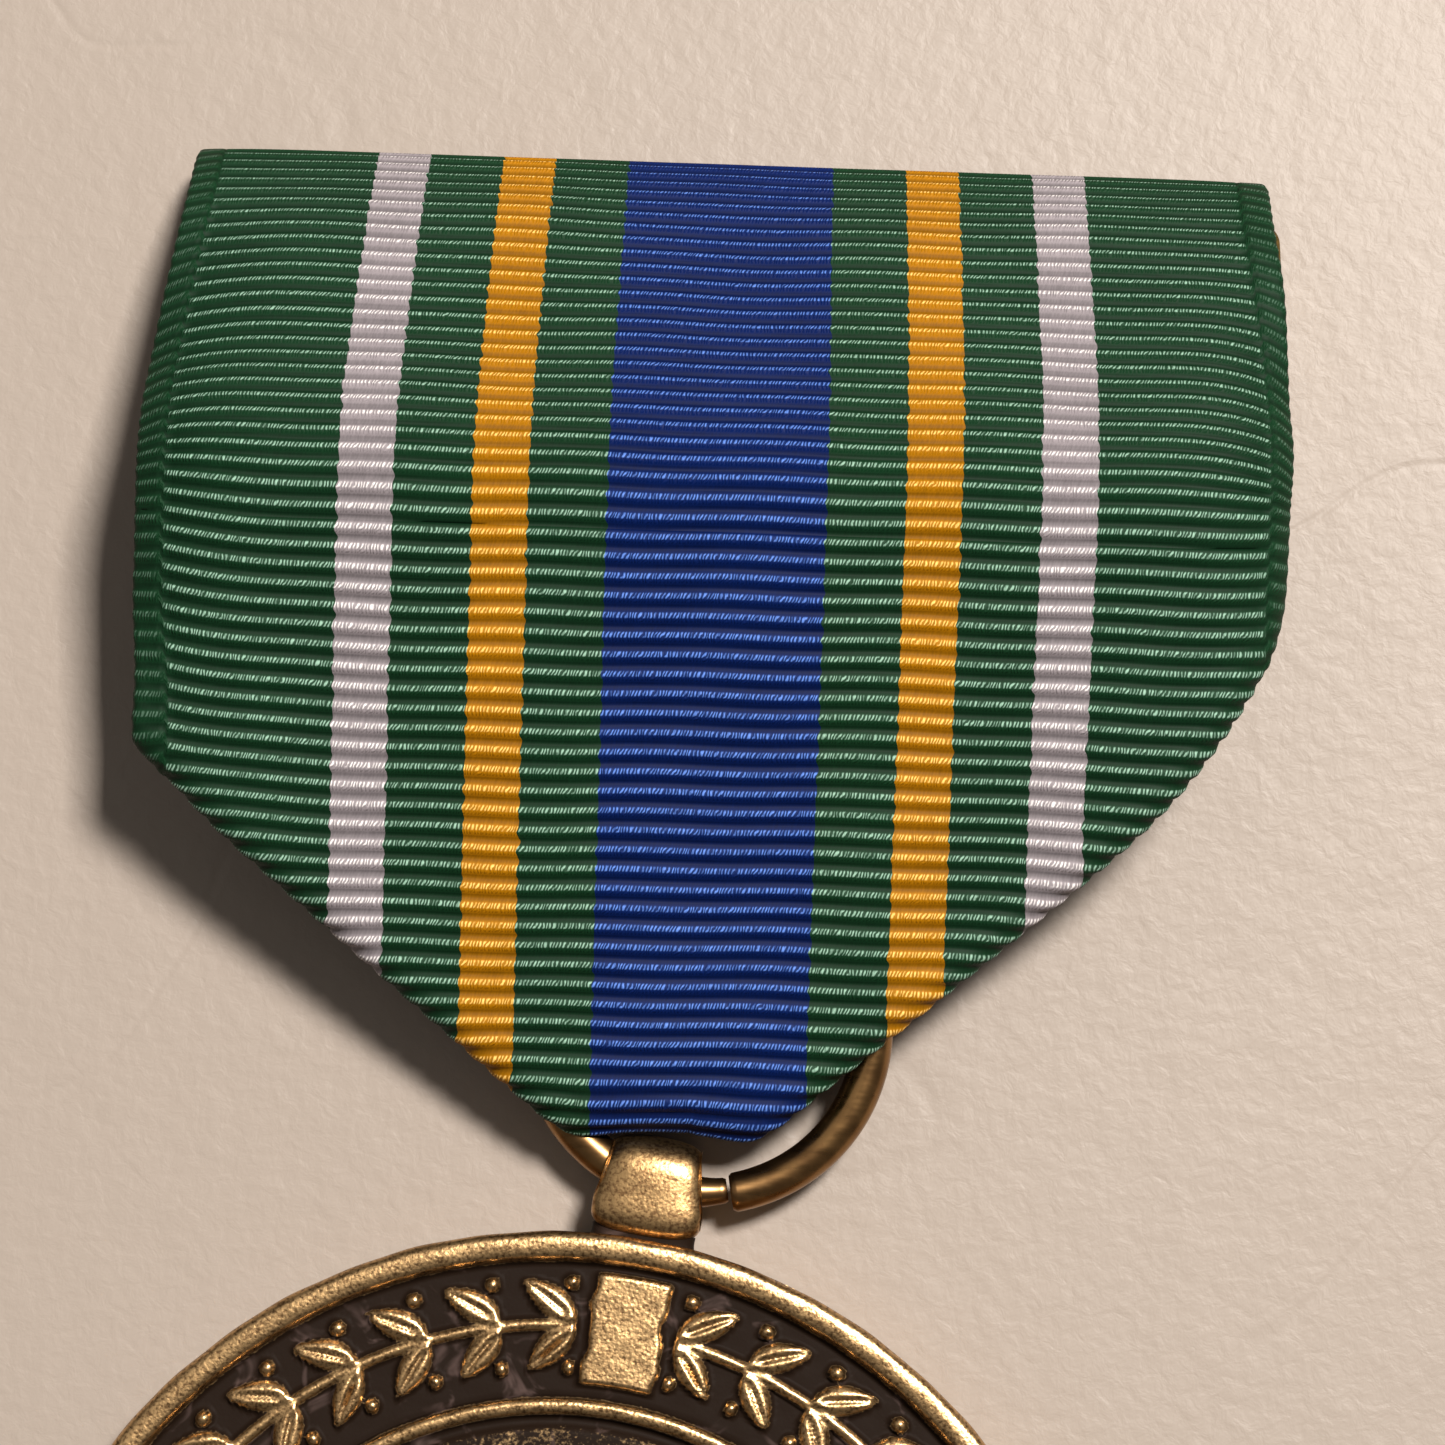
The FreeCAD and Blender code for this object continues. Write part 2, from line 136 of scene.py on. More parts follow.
def with_ends(value: Array) -> Array:
    """A grid's vertex values in one row, then the means of its first and last row for the end vertices.

    Args:
        value: Values of shape (rows, cols).
    Returns:
        Array of rows * cols + 2 values.
    """
    return np.concatenate([value.ravel(), [value[0].mean(), value[-1].mean()]])


@dataclass
class Surface:
    """A mesh in millimetres with named values at its vertices."""

    points: Array
    quads: Array
    tris: Array
    values: dict[str, Array]

    def flipped(self) -> "Surface":
        """The same surface with every face turned over."""
        return Surface(self.points, self.quads[:, ::-1], self.tris[:, ::-1], self.values)

    def joined(self, other: "Surface") -> "Surface":
        """Both surfaces as one mesh.

        Args:
            other: Surface with the same named values.
        Returns:
            One surface holding both.
        """
        shift = len(self.points)
        values = {k: np.concatenate([v, other.values[k]]) for k, v in self.values.items()}
        return Surface(
            np.concatenate([self.points, other.points]),
            np.concatenate([self.quads, other.quads + shift]),
            np.concatenate([self.tris, other.tris + shift]),
            values,
        )

    def used(self) -> "Surface":
        """The surface without vertices that no face uses."""
        keep, flat = np.unique(np.concatenate([self.quads.ravel(), self.tris.ravel()]), return_inverse=True)
        cut = self.quads.size
        values = {k: v[keep] for k, v in self.values.items()}
        return Surface(self.points[keep], flat[:cut].reshape(-1, 4), flat[cut:].reshape(-1, 3), values)


NO_TRIS = np.zeros((0, 3), np.int64)


def sheet_shell(outer: Array, inner: Array, keep: Array, values: dict[str, Array]) -> Surface:
    """Closed shell between two grids of points, with rims wherever the kept cells end.

    Args:
        outer: Upper layer, shape (rows, cols, 3).
        inner: Lower layer, same shape.
        keep: Which cells exist, shape (rows - 1, cols - 1).
        values: Vertex values of one layer, each with shape (rows, cols, ...).
    Returns:
        The closed surface.
    """
    rows, cols = outer.shape[:2]
    count = rows * cols
    top = grid_quads(rows, cols)[keep.ravel()]
    edges = np.stack([top, np.roll(top, -1, axis=1)], axis=-1).reshape(-1, 2)
    key = np.sort(edges, axis=1)
    code = key[:, 0] * count + key[:, 1]
    _, first, uses = np.unique(code, return_index=True, return_counts=True)
    border = edges[first[uses == 1]]
    rims = np.stack([border[:, 1], border[:, 0], border[:, 0] + count, border[:, 1] + count], axis=-1)
    quads = np.concatenate([top, top[:, ::-1] + count, rims])
    points = np.concatenate([outer.reshape(-1, 3), inner.reshape(-1, 3)])
    doubled = {k: np.concatenate([v.reshape((count,) + v.shape[2:])] * 2) for k, v in values.items()}
    return Surface(points, quads, NO_TRIS, doubled).used()


def turned_surface(radius: Array, height: Array, cols: int, values: dict[str, Array]) -> Surface:
    """Surface of revolution whose first and last rows close in a pole.

    Args:
        radius: Radii, shape (rows, cols); rows run from the upper pole outwards and under to the lower pole.
        height: Heights, same shape.
        cols: Number of vertices round the axis.
        values: Vertex values, each of shape (rows, cols).
    Returns:
        A closed surface about +Z, faces outwards.
    """
    rows = radius.shape[0]
    angle = full_turn(cols)
    ring = np.stack([radius * np.cos(angle), radius * np.sin(angle), height], axis=-1).reshape(-1, 3)
    poles = np.array([[0.0, 0.0, height[0].mean()], [0.0, 0.0, height[-1].mean()]])
    quads = grid_quads(rows, cols, wrap=True)[:, ::-1]
    fans = end_fans(rows, cols)[:, [0, 2, 1]]
    at_poles = {name: with_ends(value) for name, value in values.items()}
    return Surface(np.concatenate([ring, poles]), quads, fans, at_poles)


def ring_surface(points: Array, values: Optional[dict[str, Array]] = None) -> Surface:
    """Closed torus-like surface from a grid that wraps both ways.

    Args:
        points: Shape (rows, cols, 3).
        values: Vertex values of shape (rows, cols).
    Returns:
        The closed surface.
    """
    rows, cols = points.shape[:2]
    i = np.arange(rows)[:, None]
    j = np.arange(cols)[None, :]
    a, b = (i + 1) % rows, (j + 1) % cols
    quads = np.stack([i * cols + j, a * cols + j, a * cols + b, i * cols + b], axis=-1).reshape(-1, 4)
    flat = {k: v.ravel() for k, v in (values or {}).items()}
    return Surface(points.reshape(-1, 3), quads, NO_TRIS, flat)


def capped_tube(points: Array, values: Optional[dict[str, Array]] = None) -> Surface:
    """Tube of cross-section rings with both ends closed by a fan.

    Args:
        points: Shape (rows, cols, 3), each row one cross-section.
        values: Vertex values of shape (rows, cols).
    Returns:
        The closed surface.
    """
    rows, cols = points.shape[:2]
    ends = np.stack([points[0].mean(axis=0), points[-1].mean(axis=0)])
    flat = {name: with_ends(value) for name, value in (values or {}).items()}
    everything = np.concatenate([points.reshape(-1, 3), ends])
    return Surface(everything, grid_quads(rows, cols, wrap=True), end_fans(rows, cols), flat)


def outward(surface: Surface) -> Surface:
    """Turn a closed surface over if its volume comes out negative.

    Args:
        surface: A closed surface.
    Returns:
        The surface with faces pointing out.
    """
    q = surface.quads
    tris = np.concatenate([q[:, [0, 1, 2]], q[:, [0, 2, 3]], surface.tris])
    a, b, c = (surface.points[tris[:, n]] for n in range(3))
    volume = float((a * np.cross(b, c)).sum())
    return surface if volume > 0.0 else surface.flipped()


def make_piece(name: str, surface: Surface, sharp_deg: float = 70.0) -> bpy.types.Object:
    """Write a surface into a new object, in metres, shaded smooth up to an angle.

    Args:
        name: Object name.
        surface: Geometry in millimetres.
        sharp_deg: Edges bent more than this stay sharp.
    Returns:
        The new object.
    """
    mesh = bpy.data.meshes.new(name)
    quads, tris = surface.quads, surface.tris
    loops = np.concatenate([quads.ravel(), tris.ravel()]).astype(np.int32)
    mesh.vertices.add(len(surface.points))
    mesh.vertices.foreach_set("co", (surface.points * MM).astype(np.float32).ravel())
    mesh.loops.add(len(loops))
    mesh.loops.foreach_set("vertex_index", loops)
    sizes = np.concatenate([np.full(len(quads), 4), np.full(len(tris), 3)])
    starts = np.concatenate([[0], np.cumsum(sizes)[:-1]])
    mesh.polygons.add(len(sizes))
    mesh.polygons.foreach_set("loop_start", starts.astype(np.int32))
    for key, value in surface.values.items():
        vector = value.ndim == 2
        layer = mesh.attributes.new(key, "FLOAT_VECTOR" if vector else "FLOAT", "POINT")
        layer.data.foreach_set("vector" if vector else "value", value.astype(np.float32).ravel())
    mesh.update(calc_edges=True)
    mesh.validate()
    mesh.shade_smooth()
    mesh.set_sharp_from_angle(angle=math.radians(sharp_deg))
    obj = bpy.data.objects.new(name, mesh)
    bpy.context.scene.collection.objects.link(obj)
    return obj


# ---------------------------------------------------------------- materials

Socket = bpy.types.NodeSocket
Colour = tuple[float, float, float]


def srgb(red: float, green: float, blue: float) -> Colour:
    """Linear colour of an 8-bit display colour.

    Args:
        red: Red from 0 to 255.
        green: Green from 0 to 255.
        blue: Blue from 0 to 255.
    Returns:
        Linear red, green and blue.
    """
    c = np.array([red, green, blue]) / 255.0
    linear = np.where(c <= 0.04045, c / 12.92, ((c + 0.055) / 1.055) ** 2.4)
    return (float(linear[0]), float(linear[1]), float(linear[2]))


class Graph:
    """Short forms for building one material's nodes."""

    def __init__(self, name: str) -> None:
        """Start an empty material.

        Args:
            name: Material name.
        """
        self.material = bpy.data.materials.new(name)
        self.material.use_nodes = True
        self.tree = self.material.node_tree
        self.tree.nodes.clear()
        self.shader = self.node("ShaderNodeBsdfPrincipled")
        out = self.node("ShaderNodeOutputMaterial")
        self.tree.links.new(self.shader.outputs["BSDF"], out.inputs["Surface"])

    def node(self, kind: str, **fields: object) -> bpy.types.Node:
        """Add a node and set its fields.

        Args:
            kind: Node type.
            fields: Attributes of the node.
        Returns:
            The node.
        """
        made = self.tree.nodes.new(kind)
        for key, value in fields.items():
            setattr(made, key, value)
        return made

    def put(self, socket: Socket, value: object) -> None:
        """Link a socket or set its constant.

        Args:
            socket: Input to feed.
            value: Another socket, a number or a colour.
        """
        if isinstance(value, bpy.types.NodeSocket):
            self.tree.links.new(value, socket)
        elif isinstance(value, tuple) and socket.type == "RGBA":
            socket.default_value = (*value, 1.0)
        else:
            socket.default_value = value

    def feed(self, node: bpy.types.Node, **inputs: object) -> None:
        """Feed a node's inputs; underscores in their names stand for spaces.

        Args:
            node: Node to feed.
            inputs: Sockets, numbers or colours by input name.
        """
        for key, value in inputs.items():
            self.put(node.inputs[key.replace("_", " ")], value)

    def math(self, operation: str, *values: object) -> Socket:
        """Arithmetic on one to three values.

        Args:
            operation: Name of the operation.
            values: Sockets or numbers.
        Returns:
            The result.
        """
        made = self.node("ShaderNodeMath", operation=operation)
        for socket, value in zip(made.inputs, values):
            self.put(socket, value)
        return made.outputs[0]

    def ease(
        self, value: Socket, low: float, high: float, out_low: float = 0.0, out_high: float = 1.0
    ) -> Socket:
        """Smoothly map a value from one range to another.

        Args:
            value: Value to map.
            low: Input at the start.
            high: Input at the end.
            out_low: Output at the start.
            out_high: Output at the end.
        Returns:
            Mapped value.
        """
        made = self.node("ShaderNodeMapRange", interpolation_type="SMOOTHSTEP")
        for socket, number in zip(made.inputs, (value, low, high, out_low, out_high)):
            self.put(socket, number)
        return made.outputs[0]

    def mix(self, share: object, first: object, second: object, blend: str = "MIX") -> Socket:
        """Mix two colours.

        Args:
            share: Share of the second colour.
            first: Colour or socket.
            second: Colour or socket.
            blend: Blend mode.
        Returns:
            Mixed colour.
        """
        made = self.node("ShaderNodeMix", data_type="RGBA", blend_type=blend)
        made.clamp_result = True
        colours = [s for s in made.inputs if s.type == "RGBA"]
        self.put(made.inputs["Factor"], share)
        self.put(colours[0], first)
        self.put(colours[1], second)
        return next(s for s in made.outputs if s.type == "RGBA")

    def place(self) -> Socket:
        """Object coordinates in metres."""
        return self.node("ShaderNodeTexCoord").outputs["Object"]

    def value(self, name: str) -> Socket:
        """A number stored at the vertices.

        Args:
            name: Attribute name.
        Returns:
            Its value.
        """
        return self.node("ShaderNodeAttribute", attribute_name=name).outputs["Fac"]

    def vector(self, name: str) -> bpy.types.NodeOutputs:
        """The three components of a vector stored at the vertices.

        Args:
            name: Attribute name.
        Returns:
            Outputs X, Y and Z.
        """
        stored = self.node("ShaderNodeAttribute", attribute_name=name).outputs["Vector"]
        split = self.node("ShaderNodeSeparateXYZ")
        self.put(split.inputs[0], stored)
        return split.outputs

    def noise(
        self, where: Socket, scale: float, detail: float = 2.0, rough: float = 0.5, warp: float = 0.0
    ) -> Socket:
        """Fractal noise from 0 to 1.

        Args:
            where: Coordinates.
            scale: Frequency.
            detail: Octaves.
            rough: Strength of the higher octaves.
            warp: Distortion.
        Returns:
            Noise value.
        """
        made = self.node("ShaderNodeTexNoise")
        self.feed(made, Vector=where, Scale=scale, Detail=detail, Roughness=rough, Distortion=warp)
        return made.outputs["Fac"]

    def cells(self, where: Socket, scale: float) -> Socket:
        """Distance to the nearest of many scattered points.

        Args:
            where: Coordinates.
            scale: Frequency.
        Returns:
            Distance value.
        """
        made = self.node("ShaderNodeTexVoronoi")
        self.feed(made, Vector=where, Scale=scale)
        return made.outputs["Distance"]

    def seams(self, where: Socket, scale: float, warp: float) -> Socket:
        """Distance to a net of wandering lines, in cells.

        Args:
            where: Coordinates.
            scale: Cells to a metre.
            warp: How far the lines wander.
        Returns:
            Distance value.
        """
        shake = self.node("ShaderNodeTexNoise")
        self.feed(shake, Vector=where, Scale=3.0 * scale)
        shift = self.node("ShaderNodeVectorMath", operation="MULTIPLY_ADD")
        self.put(shift.inputs[0], shake.outputs["Color"])
        shift.inputs[1].default_value = (warp / scale,) * 3
        self.put(shift.inputs[2], where)
        made = self.node("ShaderNodeTexVoronoi", feature="DISTANCE_TO_EDGE")
        self.feed(made, Vector=shift.outputs[0], Scale=scale)
        return made.outputs["Distance"]

    def stretch(self, where: Socket, scale: Colour, turn: float = 0.0) -> Socket:
        """Scale and turn coordinates about Z.

        Args:
            where: Coordinates.
            scale: Scale along each axis.
            turn: Turn in radians.
        Returns:
            New coordinates.
        """
        made = self.node("ShaderNodeMapping")
        self.feed(made, Vector=where, Scale=scale, Rotation=(0.0, 0.0, turn))
        return made.outputs[0]

    def bump(self, height: Socket, strength: float, depth_mm: float) -> None:
        """Perturb the shader's normal.

        Args:
            height: Height value.
            strength: Share of the effect.
            depth_mm: Height of one unit.
        """
        made = self.node("ShaderNodeBump")
        self.feed(made, Strength=strength, Distance=depth_mm * MM, Height=height)
        self.put(self.shader.inputs["Normal"], made.outputs[0])

    def set(self, **inputs: object) -> None:
        """Feed the shader's inputs; underscores stand for spaces.

        Args:
            inputs: Sockets, numbers or colours by input name.
        """
        self.feed(self.shader, **inputs)


@dataclass(frozen=True)
class RibbonFinish:
    """Warp-faced ribbed ribbon with woven stripes."""

    half_width: float = 17.45
    rib: float = 0.5815
    yarn: float = 0.108
    # Each stripe is a pair: the cloth's colour in the furrows, then a lit copy of it that is painted as the
    # highlight on the crests.
    green: tuple[Colour, Colour] = (srgb(14, 51, 28), srgb(136, 172, 152))
    white: tuple[Colour, Colour] = (srgb(146, 138, 142), srgb(226, 222, 221))
    yellow: tuple[Colour, Colour] = (srgb(166, 109, 0), srgb(240, 194, 106))
    blue: tuple[Colour, Colour] = (srgb(0, 25, 82), srgb(88, 126, 204))

    def stripes(self) -> list[tuple[float, tuple[Colour, Colour]]]:
        """Stripe starts across the ribbon from 0 to 1, in sixteenths of an inch from the left edge.

        Each comes with its colour in the furrows and a paler lit copy of it, a painted highlight, for the
        crests.
        """
        widths = [4, 1, 1.5, 1, 1.5, 4, 1.5, 1, 1.5, 1, 4]
        order = [self.green, self.white, self.green, self.yellow, self.green, self.blue]
        order += [self.green, self.yellow, self.green, self.white, self.green]
        starts = np.concatenate([[0.0], np.cumsum(widths)[:-1]]) / sum(widths)
        return [(float(a), c) for a, c in zip(starts, order)]

    def ramp(self, g: Graph, share: Socket, which: int) -> Socket:
        """Colour of the stripe at a share of the width.

        Args:
            g: Material under construction.
            share: Share of the width from the left edge.
            which: 0 for the furrows, 1 for the painted highlight on the crests.
        Returns:
            The colour.
        """
        made = g.node("ShaderNodeValToRGB")
        g.put(made.inputs[0], share)
        made.color_ramp.interpolation = "CONSTANT"
        elements = made.color_ramp.elements
        for index, (start, colours) in enumerate(self.stripes()):
            stop = elements[index] if index < 2 else elements.new(start)
            stop.position = start
            stop.color = (*colours[which], 1.0)
        return made.outputs[0]

    def build(self) -> bpy.types.Material:
        """Make the material; the vertex vector "weave" holds distance across and along the cloth in mm.

        Each rib is dark and satin. Its furrows are darkened further by painted shade, and a painted highlight
        in a paler copy of the stripe's colour runs along its crest as a thin line of slanted yarns.
        """
        g = Graph("ribbed_ribbon")
        across, along, _ = g.vector("weave")
        where = g.node("ShaderNodeAttribute", attribute_name="weave").outputs["Vector"]
        turns = g.math("MULTIPLY", along, 2.0 * math.pi / self.rib)
        crest = g.math("MULTIPLY_ADD", g.math("COSINE", turns), 0.5, 0.5)
        # Painted highlight: where the bright glint line sits, just off each crest.
        high = g.math("MULTIPLY_ADD", g.math("COSINE", g.math("ADD", turns, 0.7)), 0.5, 0.5)
        jitter = g.math("MULTIPLY_ADD", g.noise(where, 3.1, 1.0), 0.16, -0.08)
        shifted = g.math("ADD", across, g.math("MULTIPLY_ADD", crest, 0.05, jitter))
        share = g.math("MULTIPLY_ADD", shifted, 0.5 / self.half_width, 0.5)
        slant = g.math("MULTIPLY_ADD", along, 0.35, across)
        slant = g.math("MULTIPLY_ADD", g.noise(g.stretch(where, (3.0, 1.7, 1.0)), 1.0, 2.0), 0.30, slant)
        ply = g.math("SINE", g.math("MULTIPLY", slant, 2.0 * math.pi / self.yarn))
        fuzz = g.noise(g.stretch(where, (9.0, 2.2, 1.0)), 1.0, 3.0, 0.6)
        patch = g.noise(where, 0.32, 2.0)
        body = g.math("MULTIPLY_ADD", fuzz, 0.5, 0.62)
        body = g.math("MULTIPLY", body, g.math("MULTIPLY_ADD", patch, 0.4, 0.8))
        # Painted shade: the furrows between ribs are darkened to 55 per cent of the crest tone.
        body = g.math("MULTIPLY", body, g.ease(crest, 0.0, 0.6, 0.55, 1.0))
        body = g.math("MULTIPLY", body, g.math("MULTIPLY_ADD", ply, 0.06, 1.0))
        grey = g.node("ShaderNodeCombineColor")
        for socket in grey.inputs[:3]:
            g.put(socket, body)
        dark = g.mix(1.0, self.ramp(g, share, 0), grey.outputs[0], "MULTIPLY")
        # Painted highlight colour of the stripe under each point.
        pale = self.ramp(g, share, 1)
        inwards = g.math("SUBTRACT", self.half_width, g.math("ABSOLUTE", across))
        border = g.math("MAXIMUM", g.ease(inwards, 1.12, 1.26), g.ease(inwards, 0.86, 1.0, 0.24, 0.0))
        broken = g.ease(g.noise(g.stretch(where, (6.5, 1.7, 1.0)), 1.0, 3.0, 0.75), 0.34, 0.58, 0.3, 1.0)
        yarns = g.ease(ply, -0.35, 0.7, 0.06, 1.0)
        # Painted highlight: the glint line along each crest, broken into yarns and faded near the woven
        # edges.
        line = g.math("MULTIPLY", g.ease(high, 0.72, 0.95), g.math("MULTIPLY", yarns, broken))
        line = g.math("MULTIPLY", line, border)
        colour = g.mix(line, dark, pale)
        height = g.math("MULTIPLY_ADD", ply, 0.5, g.math("MULTIPLY", fuzz, 1.4))
        height = g.math("MULTIPLY", height, g.ease(crest, 0.35, 0.95))
        g.bump(height, 0.8, 0.03)
        g.set(Base_Color=colour, Roughness=g.math("MULTIPLY_ADD", line, -0.15, 0.6))
        g.set(Specular_IOR_Level=0.12)
        return g.material


@dataclass(frozen=True)
class ThreadFinish:
    """Sewing thread twisted from two plies."""

    colour: Colour = srgb(38, 66, 52)
    light: Colour = srgb(92, 120, 104)

    def build(self) -> bpy.types.Material:
        """Make the material; the vertex number "twist" counts turns along the thread."""
        g = Graph("sewing_thread")
        wave = g.math("SINE", g.math("MULTIPLY", g.value("twist"), 2.0 * math.pi))
        fuzz = g.noise(g.place(), 9000.0)
        tone = g.mix(g.math("MULTIPLY_ADD", wave, 0.3, 0.5), self.colour, self.light)
        g.bump(g.math("ADD", wave, fuzz), 0.8, 0.05)
        g.set(Base_Color=tone, Roughness=0.7, Sheen_Weight=0.2)
        return g.material


@dataclass(frozen=True)
class PatinaFinish:
    """Antique bronze: bright worn highs and a dark oxide in the recesses, told apart by a stored height; the
    oxide carries patches of painted reflection.
    """

    name: str = "antique_bronze"
    bright: Colour = srgb(205, 169, 120)
    warm: Colour = srgb(134, 105, 72)
    oxide: Colour = srgb(27, 18, 12)
    painted_reflection: Colour = srgb(88, 72, 68)
    bright_rough: float = 0.33
    stipple_mm: float = 0.009
    specks: float = 0.32

    def build(self) -> bpy.types.Material:
        """Make the material; the vertex number "relief" is 0 in recesses and 1 on the highest ground."""
        g = Graph(self.name)
        where = g.place()
        relief = g.value("relief")
        mottle = g.noise(where, 1500.0, 4.0, 0.62)
        grain = g.noise(where, 9000.0, 2.0, 0.55)
        facet = g.cells(where, 8500.0)
        reflection_patches = g.noise(where, 760.0, 3.0, 0.6, 0.8)
        level = g.math("ADD", relief, g.math("MULTIPLY_ADD", mottle, 0.5, -0.25))
        level = g.math("ADD", level, g.math("MULTIPLY_ADD", grain, 0.4, -0.2))
        worn = g.ease(level, 0.30, 0.62)
        sparkle = g.math("MULTIPLY_ADD", grain, 0.7, g.math("MULTIPLY", mottle, 0.3))
        metal = g.mix(g.ease(sparkle, 0.36, 0.58), self.warm, self.bright)
        metal = g.mix(g.ease(grain, 0.28, 0.42, self.specks, 0.0), metal, self.oxide)
        # Painted reflection: pale grey-mauve patches over up to 60 per cent of the dark oxide, standing in
        # for gloss reflections.
        oxide_and_painted_reflection = g.mix(g.ease(reflection_patches, 0.56, 0.74, 0.0, 0.6), self.oxide, self.painted_reflection)
        colour = g.mix(worn, oxide_and_painted_reflection, metal)
        rough_ground = g.math("ADD", grain, g.math("MULTIPLY", facet, 0.7))
        rough_ground = g.math("ADD", rough_ground, g.math("MULTIPLY", mottle, 0.6))
        g.bump(g.math("MULTIPLY", rough_ground, g.ease(worn, 0.0, 1.0, 0.35, 1.0)), 0.9, self.stipple_mm)
        rough = g.ease(worn, 0.0, 1.0, 0.6, self.bright_rough)
        g.set(Base_Color=colour, Metallic=g.ease(worn, 0.1, 0.6, 0.0, 1.0), Roughness=rough)
        g.set(Specular_IOR_Level=0.06)
        return g.material


@dataclass(frozen=True)
class WireFinish:
    """Drawn metal with fine marks along one slanting direction."""

    name: str
    light: Colour
    dark: Colour
    rough: float = 0.3
    mark_mm: float = 0.012

    def build(self) -> bpy.types.Material:
        """Make the material."""
        g = Graph(self.name)
        where = g.place()
        stain = g.noise(where, 620.0, 4.0, 0.6)
        fine = g.noise(g.stretch(where, (900.0, 5200.0, 2600.0), 0.7), 1.0, 3.0)
        pits = g.cells(where, 2600.0)
        colour = g.mix(g.ease(stain, 0.34, 0.68), self.dark, self.light)
        colour = g.mix(g.ease(pits, 0.0, 0.22, 0.55, 0.0), colour, self.dark)
        g.bump(g.math("ADD", fine, g.math("MULTIPLY", stain, 0.6)), 0.8, self.mark_mm)
        rough = g.math("MULTIPLY_ADD", fine, 0.22, self.rough - 0.08)
        g.set(Base_Color=colour, Metallic=1.0, Roughness=rough)
        return g.material


@dataclass(frozen=True)
class TableFinish:
    """Pale warm moulded table top."""

    colour: Colour = srgb(152, 141, 131)
    cloud: Colour = srgb(141, 129, 119)
    relief_mm: float = 0.085

    def build(self) -> bpy.types.Material:
        """Make the material."""
        g = Graph("table_top")
        where = g.place()
        cloud = g.noise(where, 30.0, 3.0)
        pebble = g.noise(where, 1900.0, 3.0, 0.55, 0.3)
        swell = g.noise(where, 520.0, 2.0, 0.5)
        crease = g.ease(g.seams(where, 19.0, 0.45), 0.0, 0.007, -0.32, 0.0)
        fine = g.math("ADD", g.math("MULTIPLY_ADD", swell, 0.9, g.math("MULTIPLY", pebble, 0.75)), crease)
        tone = g.mix(g.math("MULTIPLY", cloud, 0.25), self.colour, self.cloud)
        g.bump(fine, 0.5, self.relief_mm)
        g.set(Base_Color=tone, Roughness=0.44, Specular_IOR_Level=0.27)
        return g.material


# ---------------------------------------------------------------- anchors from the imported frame


class Side(Enum):
    """Left or right edge of the ribbon, as the sign of the distance across."""

    LEFT = -1.0
    RIGHT = 1.0


def joint_place(name: str) -> Array:
    """Position of a joint in millimetres.

    Args:
        name: Joint name in the record.
    Returns:
        Its x, y and z.
    """
    joints = frame["record"]["behaviour"]["joints"]
    found = next(j for j in joints if j["name"] == name)
    return np.array(found["pos_m"]) / MM


def node_box(name: str) -> tuple[Array, Array]:
    """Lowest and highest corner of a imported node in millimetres.

    Args:
        name: Node name.
    Returns:
        Two corners.
    """
    low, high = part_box(name)
    return np.array(low) / MM, np.array(high) / MM


# ---------------------------------------------------------------- ribbon


@dataclass
class FoldLine:
    """Diagonal along which a lower corner of the ribbon is folded behind.

    The outline follows one or more straight bends, each through (across, down) with a slope, and turns
    smoothly from one to the next.
    """

    side: Side
    bends: tuple[tuple[float, float, float], ...]
    soft: float
    blend: float = 0.4
    radius: float = 0.42

    def __post_init__(self) -> None:
        """Work out the roll's cross-section.

        The curvature eases from nothing to one over the radius across the soft zone, holds until the
        cloth has turned through 180 degrees, and is nothing after that.
        """
        d = np.linspace(-self.soft - 1.0, 24.0, 6000)
        step = d[1] - d[0]
        bend = smooth(d, -self.soft, 0.4) ** 2 / self.radius
        turn = np.minimum(running_sum(bend, step), math.pi)
        self.grid = d
        self.reach = running_sum(np.cos(turn), step) + d[0]
        self.drop = running_sum(np.sin(turn), step)
        self.lead = float(self.reach[turn < math.pi / 2.0].max())

    def distance(self, u: Array, s: Array) -> tuple[Array, Array, Array]:
        """Distance past the fold's start and the direction out of the front.

        Args:
            u: Distance across, signed.
            s: Distance down from the ridge.
        Returns:
            Distance, and the direction's parts away from the middle and down.
        """
        parts = []
        for across, down, slope in self.bends:
            length = math.hypot(slope, 1.0)
            d = ((u * self.side.value - across) * slope + (s - down)) / length
            parts.append((d, slope / length, 1.0 / length))
        weights = np.stack([np.exp(np.clip(d / self.blend, -60.0, 60.0)) for d, _, _ in parts])
        total = weights.sum(axis=0)
        nu = sum(w * part[1] for w, part in zip(weights, parts)) / total
        ns = sum(w * part[2] for w, part in zip(weights, parts)) / total
        return self.blend * np.log(total) + self.lead, nu, ns


@dataclass
class RibbonSize:
    """Driving sizes of the ribbon's cloth."""

    half_width: float = 17.45
    rib: float = 0.5815
    upper_rib: float = 0.517
    rib_height: float = 0.13
    cloth: float = 0.40
    top: float = -18.4
    roll_start: float = 18.3
    roll_end: float = 22.1
    foot_line: float = 20.1
    tail_end: float = 36.4
    samples_per_rib: int = 8
    columns: int = 122
    selvedge: float = 1.05
    selvedge_columns: int = 11
    foot_left: float = -3.1
    foot_right: float = 2.3
    cut: float = 1.5
    hem_top: float = -9.4
    hem_end: float = 3.2
    hem_half: float = 15.4
    hem_rows: int = 140
    hem_columns: int = 90
    hem_depth: float = 0.58
    hem_rib_height: float = 0.03
    crease_deg: float = 80.0


